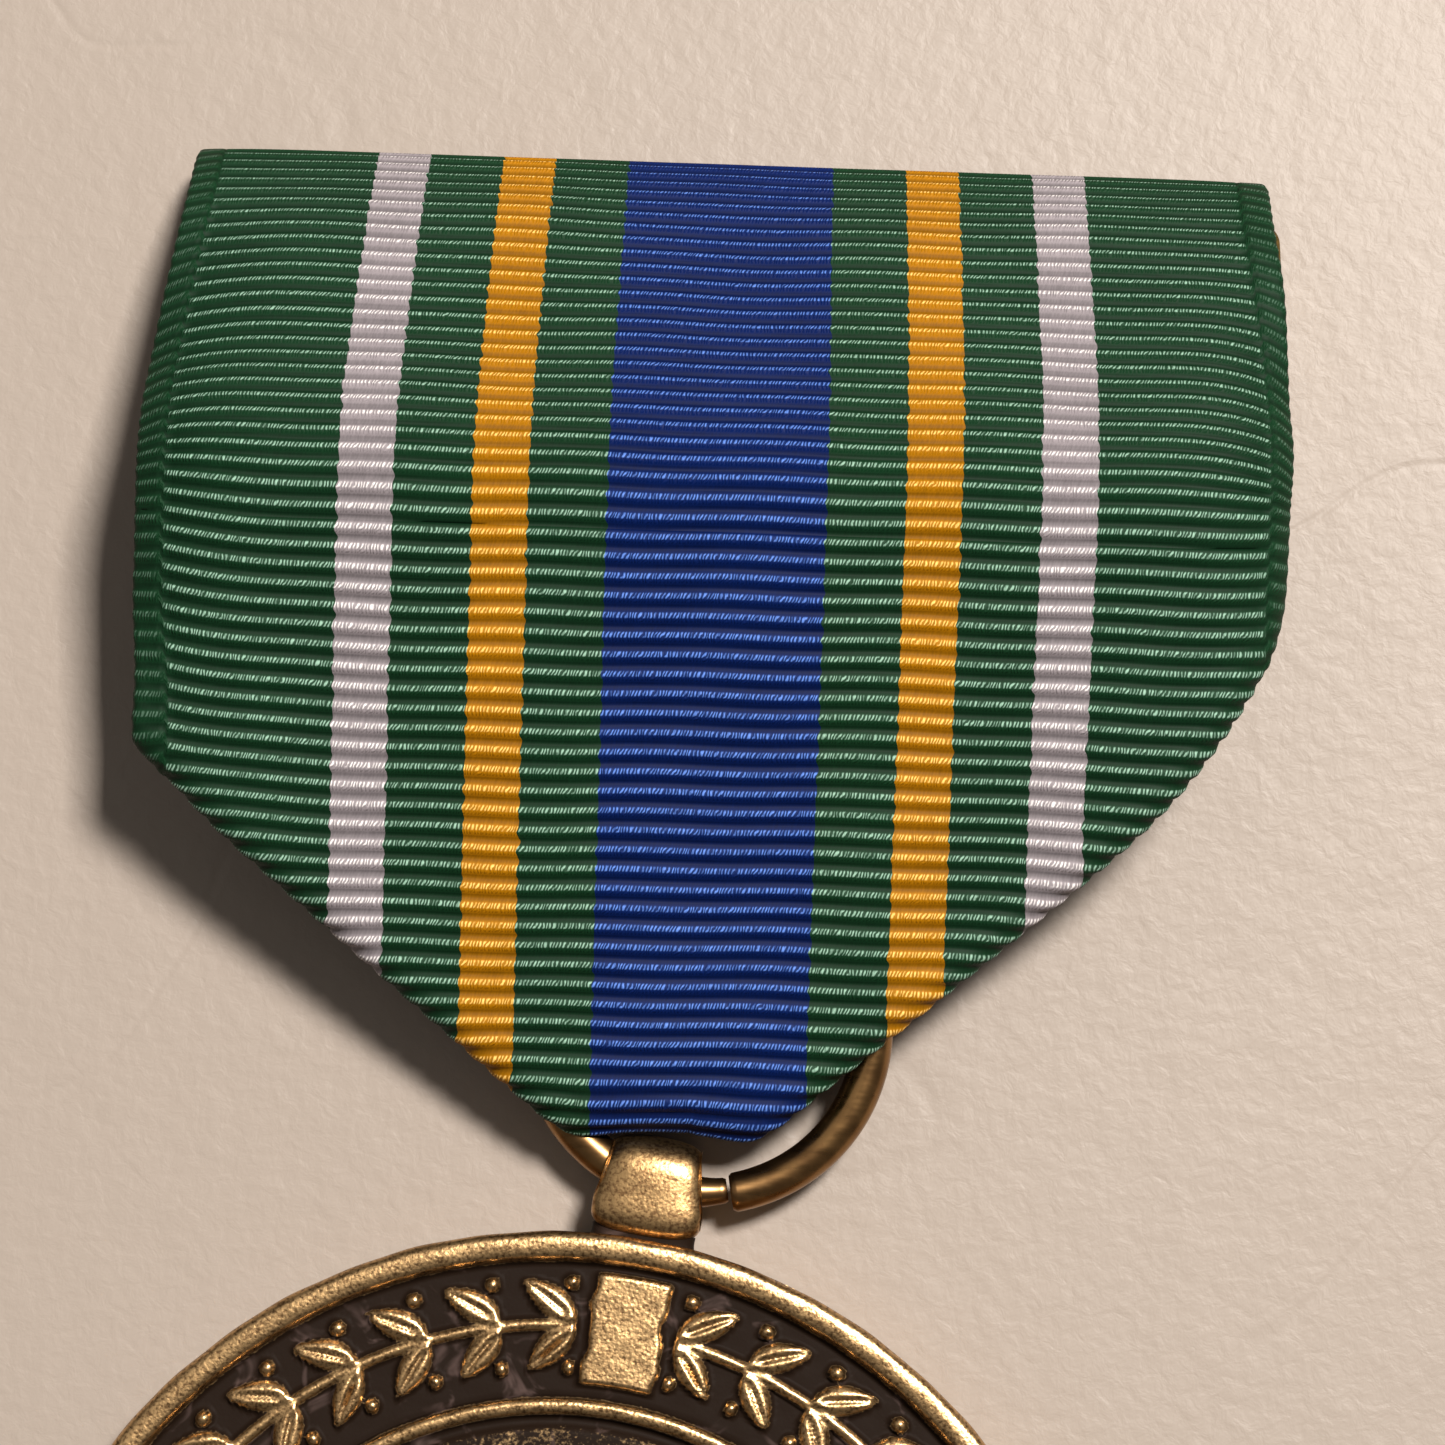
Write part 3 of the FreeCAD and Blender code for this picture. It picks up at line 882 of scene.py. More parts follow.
class Ribbon:
    """The one length of ribbed ribbon, folded over the bar and through the ring."""

    def __init__(self, size: RibbonSize) -> None:
        """Lay out the path of the cloth's middle surface.

        Args:
            size: Driving sizes.
        """
        self.size = size
        upper, lower = node_box("ribbon_front_upper"), node_box("ribbon_front_lower")
        self.ridge = np.array([joint_place("ring_turn")[0], lower[1][1], upper[1][2] - 0.26])
        self.folds = [
            FoldLine(Side.LEFT, ((9.7, 14.7, 0.84),), 0.7),
            FoldLine(Side.RIGHT, ((9.35, 13.1, 0.875), (15.7, 6.1, 1.64)), 1.3),
        ]
        self.table = self._path(True)
        self.flat_table = self._path(False)

    def _path(self, rolled: bool) -> tuple[Array, Array, Array, Array]:
        """Integrate the cloth's heading along its length.

        The heading is the angle below the horizontal at which the cloth runs towards the ring.

        Args:
            rolled: Whether the cloth turns back at the foot; if not, the front panel runs straight on.
        Returns:
            Distance, y, z and heading in radians.
        """
        s = self.size
        knots = [(s.top - 1.0, -209), (-15.36, -209), (-13.21, -105), (-12.06, -58), (-11.16, -46)]
        knots += [(-9.86, -40), (-7.86, -24.5), (-2.4, -23.8), (-1.5, -19.6), (-0.7, -9), (0.1, 4)]
        knots += [(0.9, 13), (1.8, 15), (s.roll_start, 15)]
        if rolled:
            knots += [(s.roll_end, 187), (30.4, 187), (31.2, 222), (34.3, 222), (35.0, 195)]
        else:
            knots += [(40.0, 15)]
        knots += [(60.0, knots[-1][1])]
        along = np.linspace(s.top - 1.0, 60.0, 24000)
        heading = np.radians(np.interp(along, [k[0] for k in knots], [k[1] for k in knots]))
        step = along[1] - along[0]
        y = running_sum(-np.cos(heading), step)
        z = running_sum(-np.sin(heading), step)
        y += self.ridge[1] - np.interp(0.0, along, y)
        z += self.ridge[2] - np.interp(0.0, along, z)
        return along, y, z, heading

    def _look(self, table: tuple[Array, Array, Array, Array], s: Array) -> tuple[Array, Array, Array]:
        """Read y, z and heading at distances along the cloth."""
        along, y, z, heading = table
        return np.interp(s, along, y), np.interp(s, along, z), np.interp(s, along, heading)

    def _sag(self, u: Array, s: Array) -> Array:
        """Slow waves of the cloth, in mm out of its surface."""
        wave = 0.07 * np.sin(0.33 * u + 0.21 * s + 0.6) + 0.04 * np.sin(0.71 * u - 0.35 * s + 2.0)
        crease = -0.16 * np.exp(-(((s + 4.8 + 0.04 * u) / 1.3) ** 2)) * smooth(-u, 2.0, 12.0)
        return (wave * smooth(np.abs(s), 0.5, 4.0) + crease) * smooth(s, -11.0, -8.0)

    def _settle(self, u: Array, s: Array) -> Array:
        """How far the cloth lies to one side: a little to the left, and drawn in towards its top edge."""
        up = smooth(-s, 2.0, 11.0)
        low = 1.0 - smooth(s, 8.5, 12.0)
        left = 0.22 * up + (0.15 + 0.32 * smooth(s, 3.5, 7.0)) * low
        corner = np.where(u < 0.0, left, -0.38 * up) * smooth(np.abs(u), 12.0, self.size.half_width)
        return -0.21 - up * 0.026 * u + corner

    def _curl(self, u: Array, s: Array) -> tuple[Array, Array]:
        """Backward curl of the two long edges: how far they draw in and how far they drop."""
        edge = np.clip((np.abs(u) - 12.4) / 5.05, 0.0, 1.0)
        left = 0.72 * np.ones_like(s)
        right = 0.45 + 0.58 * smooth(s, -8.5, -3.5) + 0.12 * smooth(s, -3.0, 0.5)
        bend = np.where(u > 0.0, right, left) * (1.0 - smooth(s, 3.0, 9.5))
        held = 1.0 - 0.9 * smooth(-s, 3.0, 9.5)
        return bend**2 * 0.505 * edge**5, bend * 1.45 * edge**3 * held

    def shares(self, fold: FoldLine, u: Array, s: Array) -> tuple[Array, Array, Array, Array]:
        """How far places are past the nearer of a corner's fold and the foot's roll, and which one rules.

        Args:
            fold: Fold of one lower corner.
            u: Distance across.
            s: Distance down.
        Returns:
            Distance past, the fold's direction in two parts, and the foot's share from 0 to 1.
        """
        d_side, nu, ns = fold.distance(u, s)
        d_foot = s - self.size.foot_line + fold.lead
        gap = np.clip((d_side - d_foot) / fold.blend, -60.0, 60.0)
        share = 1.0 / (1.0 + np.exp(gap))
        return d_foot + fold.blend * np.log1p(np.exp(gap)), nu, ns, share

    def middle(self, u: Array, s: Array) -> Array:
        """Middle surface of the folded cloth.

        Args:
            u: Distance across.
            s: Distance down from the ridge.
        Returns:
            Points of shape (..., 3).
        """
        across, down, rolled_down = u.copy(), s.copy(), s.copy()
        drop, behind, foot = np.zeros(u.shape), np.zeros(u.shape), np.zeros(u.shape)
        for fold in self.folds:
            d, nu, ns, share = self.shares(fold, u, s)
            near = (u * fold.side.value >= 0.0) & (d > fold.grid[0])
            move = np.interp(d, fold.grid, fold.reach) - d
            across = np.where(near, u + move * nu * fold.side.value, across)
            down = np.where(near, s + move * ns, down)
            drop = np.where(near, np.interp(d, fold.grid, fold.drop), drop)
            extra = (d - (s - self.size.foot_line + fold.lead)) * smooth(d, -2.0, 0.0)
            rolled_down = np.where(near, s + extra, rolled_down)
            foot = np.where(near, share, foot)
            behind = np.where(near, smooth(d, 0.2, 1.2) * (1.0 - share), behind)
        drawn, dropped = self._curl(u, s)
        drawn = drawn * np.sign(u)
        y, z, heading = self._look(self.flat_table, down)
        lift = self._sag(u, s) * (1.0 - behind) - drop - dropped
        flat = np.stack([across - drawn, y - np.sin(heading) * lift, z + np.cos(heading) * lift], axis=-1)
        y, z, heading = self._look(self.table, rolled_down)
        lift = self._sag(u, s) - dropped
        round_foot = np.stack([u - drawn, y - np.sin(heading) * lift, z + np.cos(heading) * lift], axis=-1)
        points = flat + (round_foot - flat) * foot[..., None]
        points[..., 0] += self.ridge[0] + self._settle(u, s)
        return points

    def rib_phase(self, u: Array, s: Array) -> Array:
        """Where a point stands in its rib, in turns; the ribs waver and stagger at the woven edge."""
        size = self.size
        wander = 0.08 * np.sin(0.23 * u + 0.5) * np.sin(0.17 * s) + 0.025 * np.sin(1.1 * u + 0.4 * s)
        wander = wander + 0.45 * np.clip((-u - 10.5) / 7.0, 0.0, 1.0) ** 2 * smooth(s, -3.0, 3.0)
        edge = np.abs(u) - (size.half_width - size.selvedge)
        stagger = np.where(edge > 0.0, 0.5 - 0.35 * edge, 0.0)
        return np.where(s < 0.0, s / size.upper_rib, s / size.rib) + wander / size.rib + stagger

    def cloth(self, u: Array, s: Array, offset: float, ribs: float) -> tuple[Array, Array, Array]:
        """Outer and inner face of the cloth with woven ribs.

        A rib's section is the size of the cosine of half its phase to a power, so crests are broad and
        the furrows between them narrow.

        Args:
            u: Distance across, shape (rows, cols).
            s: Distance down, same shape.
            offset: Distance of the whole layer out of the front's surface.
            ribs: Height of the ribs.
        Returns:
            Outer points, inner points and the weave vector.
        """
        size = self.size
        middle = self.middle(u, s)
        normal = np.cross(np.gradient(middle, axis=0), np.gradient(middle, axis=1))
        normal /= np.maximum(np.linalg.norm(normal, axis=-1, keepdims=True), 1e-9)
        phase = self.rib_phase(u, s)
        section = np.abs(np.cos(math.pi * phase)) ** 0.9
        start = size.half_width - size.selvedge
        edge = smooth(np.abs(u), start - 0.1, start + 0.12)
        calm = 1.0 - 0.8 * smooth(np.abs(u), size.half_width - 0.8, size.half_width - 0.2)
        step = smooth(s, -13.0, -6.0)
        height = ribs * (section - 0.6) * (1.0 - edge * (0.9 - 0.4 * step)) * calm + 0.06 * edge
        worn = np.clip((np.abs(u) - size.half_width + 0.25) / 0.25, 0.0, 0.97)
        half = size.cloth / 2.0 * np.sqrt(1.0 - worn**2)
        outer = middle + normal * (offset + half + height)[..., None]
        inner = middle + normal * (offset - half - height * 0.5)[..., None]
        border = smooth(np.abs(u), size.half_width - 0.4, size.half_width)
        bulge = 0.012 * np.cos(2.0 * math.pi * phase) * border
        for layer in (outer, inner):
            layer[..., 0] += np.sign(u) * bulge
        weave = np.stack([u, phase * size.rib, np.zeros_like(u)], axis=-1)
        return outer, inner, weave

    def _rows(self, start: float, stop: float) -> Array:
        """Even rows along the cloth, a whole number to each rib."""
        step = self.size.rib / self.size.samples_per_rib
        return np.arange(int(round((stop - start) / step)) + 1) * step + start

    def _columns(self) -> Array:
        """Columns across the cloth, closer together in the woven edges."""
        size = self.size
        inner = size.half_width - size.selvedge - 0.1
        border = np.linspace(inner, size.half_width, size.selvedge_columns + 1)[1:]
        return np.concatenate([-border[::-1], np.linspace(-inner, inner, size.columns), border])

    def _piece(
        self, name: str, u: Array, s: Array, keep: Array, offset: float, ribs: float
    ) -> tuple[bpy.types.Object, float]:
        """One object of cloth and its flat area in square metres."""
        outer, inner, weave = self.cloth(u, s, offset, ribs)
        surface = outward(sheet_shell(outer, inner, keep, {"weave": weave}))
        cells = np.abs(np.diff(u, axis=1)[:-1] * np.diff(s, axis=0)[:, :-1])
        return make_piece(name, surface, self.size.crease_deg), float((cells * keep).sum()) * MM * MM

    def kept(self, u: Array, s: Array) -> Array:
        """Cells of the lower cloth that exist: the front, the flaps up to the middle, and the narrow foot."""
        size = self.size
        mid_u = (u[:-1, :-1] + u[1:, 1:]) / 2.0
        mid_s = (s[:-1, :-1] + s[1:, 1:]) / 2.0
        body = np.zeros(mid_u.shape, bool)
        for fold in self.folds:
            d, nu, ns, share = self.shares(fold, mid_u, mid_s)
            move = np.interp(d, fold.grid, fold.reach) - d
            back = mid_u * fold.side.value + move * nu
            high = mid_s + move * ns
            flap = (back > 0.15) & (high > 4.7) & (share < 0.1)
            narrow = (mid_u > size.foot_left) & (mid_u < size.foot_right) & (mid_s < size.tail_end)
            body |= (mid_u * fold.side.value >= 0.0) & ((d < 1.5) | flap | ((share > 0.6) & narrow))
        return body

    def build(self) -> list[bpy.types.Object]:
        size = self.size
        across = self._columns()
        rows = self._rows(size.top, size.cut)
        u, s = np.meshgrid(across, rows)
        everything = np.ones((len(rows) - 1, len(across) - 1), bool)
        upper, upper_area = self._piece("ribbon_upper", u, s, everything, 0.0, size.rib_height)
        low_rows = self._rows(float(rows[-1]), size.tail_end)
        u, s = np.meshgrid(across, low_rows)
        lower, lower_area = self._piece("ribbon_lower", u, s, self.kept(u, s), 0.0, size.rib_height)
        hem_rows = np.linspace(size.hem_top, size.hem_end, size.hem_rows)
        u, s = np.meshgrid(np.linspace(-size.hem_half, size.hem_half, size.hem_columns), hem_rows)
        everything = np.ones((size.hem_rows - 1, size.hem_columns - 1), bool)
        hem, _ = self._piece("ribbon_hem_layer", u, s, everything, -size.hem_depth, size.hem_rib_height)
        fabric = RibbonFinish().build()
        for obj in (upper, lower, hem):
            obj.data.materials.append(fabric)
            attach(obj, "ribbon_and_brooch")
        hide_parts("ribbon_front_upper", "ribbon_top_wrap")
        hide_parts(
            "ribbon_front_lower", "ribbon_flap_left", "ribbon_flap_right", "ribbon_bottom_fold"
        )
        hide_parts("ribbon_loop_back", "ribbon_loop_riser", "ribbon_tail")
        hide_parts("ribbon_hem", "ribbon_hem_tail")
        return [upper, lower, hem]

    def on_back(self, u: Array, s: Array, depth: float) -> Array:
        """Points behind the front's middle surface by a depth."""
        middle = self.middle(u, s)
        _, _, heading = self._look(self.flat_table, s)
        away = np.stack([np.zeros_like(u), -np.sin(heading), np.cos(heading)], axis=-1)
        return middle - away * depth


@dataclass
class StitchRow:
    """A line of stitches across the back of the ribbon."""

    name: str
    node: str
    count: int
    columns: int
    length: float
    spacing: float
    down: float
    row_gap: float
    depth: float
    thickness: float = 0.16
    arch: float = 0.12
    samples: int = 13
    sides: int = 10

    def build(self, ribbon: Ribbon) -> bpy.types.Object:
        """Make the stitches as short arched tubes.

        Args:
            ribbon: Cloth that they are sewn to.
        Returns:
            The object.
        """
        t = np.linspace(0.0, 1.0, self.samples)
        ring = full_turn(self.sides)
        whole: Optional[Surface] = None
        for row in range(self.count // self.columns):
            for column in range(self.columns):
                middle = (column - (self.columns - 1) / 2.0) * self.spacing
                u = middle + (t - 0.5) * self.length
                s = np.full_like(u, self.down + row * self.row_gap) + 0.05 * math.sin(7.0 * column)
                arched = (np.sin(math.pi * t) - 0.6)[:, None]
                line = ribbon.on_back(u, s, self.depth) - np.array([0.0, 0.0, self.arch]) * arched
                size = self.thickness * np.minimum(1.0, 3.0 * np.sin(math.pi * t) + 0.4)[:, None]
                flat = np.zeros((self.samples, self.sides))
                loop = np.stack([flat, size * np.cos(ring), size * np.sin(ring)], axis=-1)
                twist = t[:, None] * self.length / 0.5 + ring[None, :] / (2.0 * math.pi)
                tube = outward(capped_tube(line[:, None, :] + loop, {"twist": twist}))
                whole = tube if whole is None else whole.joined(tube)
        obj = make_piece(self.name, whole)
        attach(obj, "ribbon_and_brooch")
        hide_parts(self.node)
        return obj


# ---------------------------------------------------------------- ring, lug and disc


@dataclass
class JumpRing:
    """Round wire bent into a ring with a butted seam."""

    mean: float = 5.05
    wire: float = 0.60
    tilt_deg: float = 7.0
    seam_deg: float = -80.0
    gap: float = 0.05
    step: float = 0.045
    rows: int = 300
    columns: int = 30
    offset_fade: float = 0.22

    def build(self) -> bpy.types.Object:
        """Make the ring; the two ends of the wire stand slightly out of line at the seam."""
        half_gap = self.gap / self.mean
        turn = np.linspace(half_gap, 2.0 * math.pi - half_gap, self.rows)
        near = np.exp(-turn / self.offset_fade) - np.exp(-(2.0 * math.pi - turn) / self.offset_fade)
        reach = self.mean + self.step * near + 0.02 * np.sin(3.0 * turn)
        rise = 0.05 * near + 0.025 * np.sin(2.0 * turn + 1.0)
        around = full_turn(self.columns)
        from_end = np.minimum(turn, 2.0 * math.pi - turn) * self.mean
        thick = self.wire * (1.0 - 0.22 * np.exp(-((from_end / 0.07) ** 2)))
        thick = thick * (1.0 - 0.34 * np.exp(-(((2.0 * math.pi - turn) * self.mean / 1.3) ** 2)))
        r = reach[:, None] + thick[:, None] * np.cos(around)
        z = rise[:, None] + thick[:, None] * np.sin(around)
        angle = (turn + math.radians(self.seam_deg))[:, None]
        flat = np.stack([r * np.cos(angle), r * np.sin(angle), z], axis=-1)
        tilt = math.radians(self.tilt_deg)
        y = flat[..., 1] * math.cos(tilt) - flat[..., 2] * math.sin(tilt)
        z = flat[..., 1] * math.sin(tilt) + flat[..., 2] * math.cos(tilt)
        points = np.stack([flat[..., 0], y, z], axis=-1) + joint_place("ring_turn")
        obj = make_piece("jump_ring_wire", outward(capped_tube(points)), 40.0)
        finish = WireFinish("ring_wire", srgb(158, 122, 78), srgb(126, 94, 60), 0.27, 0.0018)
        obj.data.materials.append(finish.build())
        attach(obj, "ring")
        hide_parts("jump_ring")
        return obj


@dataclass
class Lug:
    """Pillow-shaped loop on the disc's edge."""

    bore: float = 0.90
    top_reach: float = 1.26
    foot_reach: float = 1.80
    depth: float = 1.20
    top_half: float = 1.34
    foot_half: float = 1.66
    neck_half: float = 1.56
    neck_flare: float = 0.2
    neck_depth: float = 0.86
    neck_overlap: float = 0.25
    neck_length: float = 0.72

    def build(self, turn: "DiscFrame") -> bpy.types.Object:
        """Make the lug.

        Round the bore, the outer surface is a superellipse that is longer and squarer towards the disc;
        across the bore each section is a rounded box.

        Args:
            turn: Frame of the disc.
        Returns:
            The object.
        """
        a = np.linspace(0.0, 2.0 * math.pi, 121)[:-1][:, None]
        b = np.linspace(0.0, 2.0 * math.pi, 65)[:-1][None, :]
        up, out = np.cos(a), np.sin(a)
        below = smooth(-up, -0.25, 0.35)
        reach = self.top_reach + (self.foot_reach - self.top_reach) * below
        power = 2.35 + 3.4 * below
        outer = (np.abs(up / reach) ** power + np.abs(out / self.depth) ** power) ** (-1.0 / power)
        half = self.top_half + (self.foot_half - self.top_half) * np.clip((-up * outer + 1.0) / 2.2, 0.0, 1.0)
        cb, sb = np.cos(b), np.sin(b)
        x = half * np.sign(cb) * np.abs(cb) ** 0.5
        lift = np.sign(sb) * np.abs(sb) ** 0.55
        rho = (outer + self.bore) / 2.0 + (outer - self.bore) / 2.0 * lift
        rho = rho - 0.10 * (x / half) ** 2 * (lift > 0.0) - 0.12 * np.abs(x / half) ** 6 * (lift > 0.0)
        dent = 0.004 * np.sin(9.0 * a + 3.0 * b) * np.sin(5.0 * b)
        rho = rho + dent * (lift > 0.0)
        points = np.stack([x, rho * up, rho * out], axis=-1)
        relief = 0.30 + 0.68 * smooth(rho, self.bore, self.top_reach - 0.14)
        relief = relief - 0.4 * smooth(-points[..., 1], 1.66, 1.85)
        surface = outward(ring_surface(points, {"relief": relief}))
        surface.points = turn.from_bore(surface.points)
        obj = make_piece("lug_loop", surface)
        neck = self._neck()
        neck.points = turn.from_bore(neck.points)
        seam = make_piece("lug_braze", neck)
        polished = PatinaFinish(
            "lug_bronze", srgb(184, 150, 104), srgb(128, 98, 66), specks=0.1, stipple_mm=0.006
        )
        obj.data.materials.append(polished.build())
        seam.data.materials.append(turn.finish)
        for piece in (obj, seam):
            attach(piece, "medallion")
        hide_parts("suspension_lug")
        return obj

    def _neck(self) -> Surface:
        """Brazed neck between lug and disc: a rounded block, waisted in the middle."""
        t = np.linspace(0.0, 1.0, 14)[:, None]
        around = np.linspace(0.0, 2.0 * math.pi, 49)[:-1][None, :]
        waist = 1.0 - 0.05 * np.sin(math.pi * t) * np.ones_like(around)
        cosine, sine = np.cos(around), np.sin(around)
        x = (self.neck_half + self.neck_flare * t) * waist * np.sign(cosine) * np.abs(cosine) ** 0.5
        z = self.neck_depth * waist * np.sign(sine) * np.abs(sine) ** 0.5
        y = -self.foot_reach + self.neck_overlap - self.neck_length * t * np.ones_like(around)
        relief = np.full(x.shape, 0.04)
        return outward(capped_tube(np.stack([x, y, z], axis=-1), {"relief": relief}))


class DiscFrame:
    """Places geometry drawn in the disc's own frame."""

    def __init__(self, finish: bpy.types.Material, hang_deg: float = 7.6) -> None:
        """Read the disc's centre and the lug's bore.

        Args:
            finish: Material of the struck metal.
            hang_deg: Clockwise turn of the disc.
        """
        self.finish = finish
        low, high = node_box("medallion")
        self.centre = np.array([(low[0] + high[0]) / 2.0, (low[1] + high[1]) / 2.0, 0.0])
        self.bore = joint_place("medal_flip")
        a = math.radians(-hang_deg)
        c, s = math.cos(a), math.sin(a)
        self.turn = np.array([[c, -s, 0.0], [s, c, 0.0], [0.0, 0.0, 1.0]])

    def from_centre(self, points: Array) -> Array:
        """Place points drawn about the disc's centre."""
        return points @ self.turn.T + self.centre

    def from_bore(self, points: Array) -> Array:
        """Place points drawn about the lug's bore."""
        return points @ self.turn.T + self.bore


@dataclass
class Disc:
    """Struck disc with a raised rim, a dark band of laurel, a bead and a stippled field with a star."""

    radius: float = 16.5
    thick: float = 2.7
    rim_inner: float = 15.62
    band_floor: float = 2.12
    band_inner: float = 11.72
    bead_top: float = 2.52
    field_edge: float = 10.72
    field: float = 2.34
    ornament: float = 0.40
    stem_radius: float = 13.75
    sprigs: int = 19
    leaf_long: float = 1.95
    leaf_wide: float = 0.52
    panel_half: float = 1.12
    star: float = 8.2
    columns: int = 840
    back_columns: int = 480
    crease_deg: float = 80.0
    groove: float = 2.08
    crown_radius: float = 16.08
    crown_half: float = 0.42

    def _leaf(self, along: Array, side: Array, length: float, width: float) -> Array:
        """Pointed leaf lying along the first axis: a rounded back with a vein pressed into it."""
        t = np.clip(along / length, 0.0, 1.0)
        half = width * np.sin(math.pi * t ** 0.8) ** 0.85
        inside = (along > 0.0) & (along < length)
        body = np.clip(1.0 - (np.abs(side) / np.maximum(half, 1e-6)) ** 2, 0.0, 1.0) ** 0.45
        vein = 1.0 - 0.45 * np.exp(-((side / 0.07) ** 2)) * smooth(t, 0.05, 0.25)
        return np.where(inside, body * vein, 0.0)

    def band(self, r: Array, angle: Array) -> Array:
        """Height of the band's ornament above its floor, from 0 to 1: paired leaves on a stem."""
        top = np.remainder(angle - math.pi / 2.0 + math.pi, 2.0 * math.pi) - math.pi
        away = np.abs(top) - self.panel_half * 1.25 / self.stem_radius
        pitch = (math.pi - self.panel_half * 1.25 / self.stem_radius) / self.sprigs
        cell = np.floor(away / pitch)
        local = (away - cell * pitch) * self.stem_radius
        out = r - self.stem_radius
        lean = math.radians(40.0)
        height = np.zeros(np.broadcast(r, angle).shape)
        for shift in (0.0, pitch * self.stem_radius):
            for sign in (-1.0, 1.0):
                a = (local + shift) * math.cos(lean) + sign * out * math.sin(lean)
                b = -(local + shift) * math.sin(lean) + sign * out * math.cos(lean)
                leaf = self._leaf(a - 0.18, b, self.leaf_long, self.leaf_wide)
                height = np.maximum(height, leaf * ((shift == 0.0) | (cell > 0)))
        height = np.maximum(height, 0.8 * np.clip(1.0 - (out / 0.22) ** 2, 0.0, 1.0) ** 0.4)
        berry = np.hypot(local - 0.25, np.abs(out) - 1.25)
        height = np.maximum(height, np.clip(1.0 - (berry / 0.27) ** 2, 0.0, 1.0) ** 0.45)
        height = height * smooth(away * r, 0.0, 0.12)
        turned = top * r
        wavy = self.panel_half + 0.06 * np.sin(r * 3.1 + np.sign(turned)) + 0.03 * np.sin(r * 7.0 + 1.0)
        panel = 1.0 - smooth(np.abs(turned), wavy - 0.1, wavy + 0.12)
        height = np.maximum(height, 0.85 * panel)
        low, high = self.band_inner + 0.24, self.rim_inner - 0.2
        return height * smooth(r, low, low + 0.12) * (1.0 - smooth(r, high - 0.12, high))

    def _star(self, r: Array, angle: Array) -> Array:
        """Faceted five-pointed star: height falls from each point's ridge to its edges."""
        fifth = 2.0 * math.pi / 5.0
        local = np.abs(np.remainder(angle - math.pi / 2.0 + fifth / 2.0, fifth) - fifth / 2.0)
        x, y = r * np.cos(local), r * np.sin(local)
        inner = self.star * 0.42
        ex, ey = inner * math.cos(fifth / 2.0) - self.star, inner * math.sin(fifth / 2.0)
        length = math.hypot(ex, ey)
        inset = ((x - self.star) * ey - y * ex) / -length
        return np.clip(inset / 0.9, 0.0, 1.3)

    def face_heights(self, r: Array, angle: Array) -> tuple[Array, Array]:
        """Height and relief value of the front at polar places."""
        noise = 0.006 * np.sin(r * 7.0 + 9.0 * angle) * np.sin(angle * 57.0)
        floor = np.full(np.broadcast(r, angle).shape, self.band_floor)
        band = self.band(r, angle)
        z = floor + self.ornament * band
        relief = 0.02 + 0.96 * smooth(band, 0.3, 0.85)
        bead = smooth(r, 11.02, 11.2) * (1.0 - smooth(r, 11.5, 11.7))
        z = np.where(r < self.band_inner, self.groove + (self.bead_top - self.groove) * bead, z)
        relief = np.where(r < self.band_inner, 0.1 + 0.75 * smooth(bead, 0.4, 0.9), relief)
        star = self._star(r, angle)
        rays = 0.5 + 0.5 * np.cos(angle * 60.0)
        rays = rays * smooth(r, 2.5, 4.0) * (1.0 - smooth(r, 9.6, 9.9)) * (star < 0.02)
        ground = self.field + 0.42 * star + 0.07 * rays
        edge = 1.0 - smooth(r, self.field_edge - 0.1, self.field_edge + 0.12)
        in_field = r < self.field_edge + 0.14
        z = np.where(in_field, self.groove + (ground - self.groove) * edge, z)
        near_star = 0.34 * np.exp(-(((star - 0.02) / 0.10) ** 2)) * (r > 1.0)
        level = 0.52 + 0.12 * rays + 0.3 * np.clip(star, 0.0, 1.0) - near_star
        relief = np.where(in_field, 0.12 + edge * level, relief)
        lip = smooth(r, self.rim_inner - 0.12, self.rim_inner + 0.16)
        crown = self.thick - 0.10 * ((r - self.crown_radius) / self.crown_half) ** 2
        z = np.where(r > self.rim_inner - 0.14, z + (crown - z) * lip, z)
        relief = np.where(r > self.rim_inner - 0.14, relief + (0.97 - relief) * lip, relief)
        return z + noise, relief

    def build_front(self, place: DiscFrame) -> bpy.types.Object:
        """Make the front half of the disc."""
        cols = self.columns
        angle = full_turn(cols)
        radii = [np.linspace(0.25, 10.4, 34), np.linspace(10.55, 11.78, 13), np.linspace(11.86, 15.42, 42)]
        radii += [np.linspace(15.48, 16.32, 12)]
        r = np.concatenate(radii)[:, None] * np.ones(cols)
        z, relief = self.face_heights(r, angle[None, :] * np.ones_like(r))
        wobble = 0.012 * np.sin(angle * 23.0) + 0.01 * np.sin(angle * 51.0 + 1.0)
        skirt_r = np.array([16.42, self.radius, self.radius, self.radius - 0.02, 9.0, 0.4])[:, None] + wobble
        skirt_z = np.array([2.60, 2.44, 1.9, 1.36, 1.34, 1.34])[:, None] * np.ones(cols)
        skirt_v = np.array([0.95, 0.8, 0.62, 0.4, 0.1, 0.1])[:, None] * np.ones(cols)
        obj = self._half("disc_front", place, (r, z, relief), (skirt_r, skirt_z, skirt_v))
        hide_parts("medallion")
        return obj

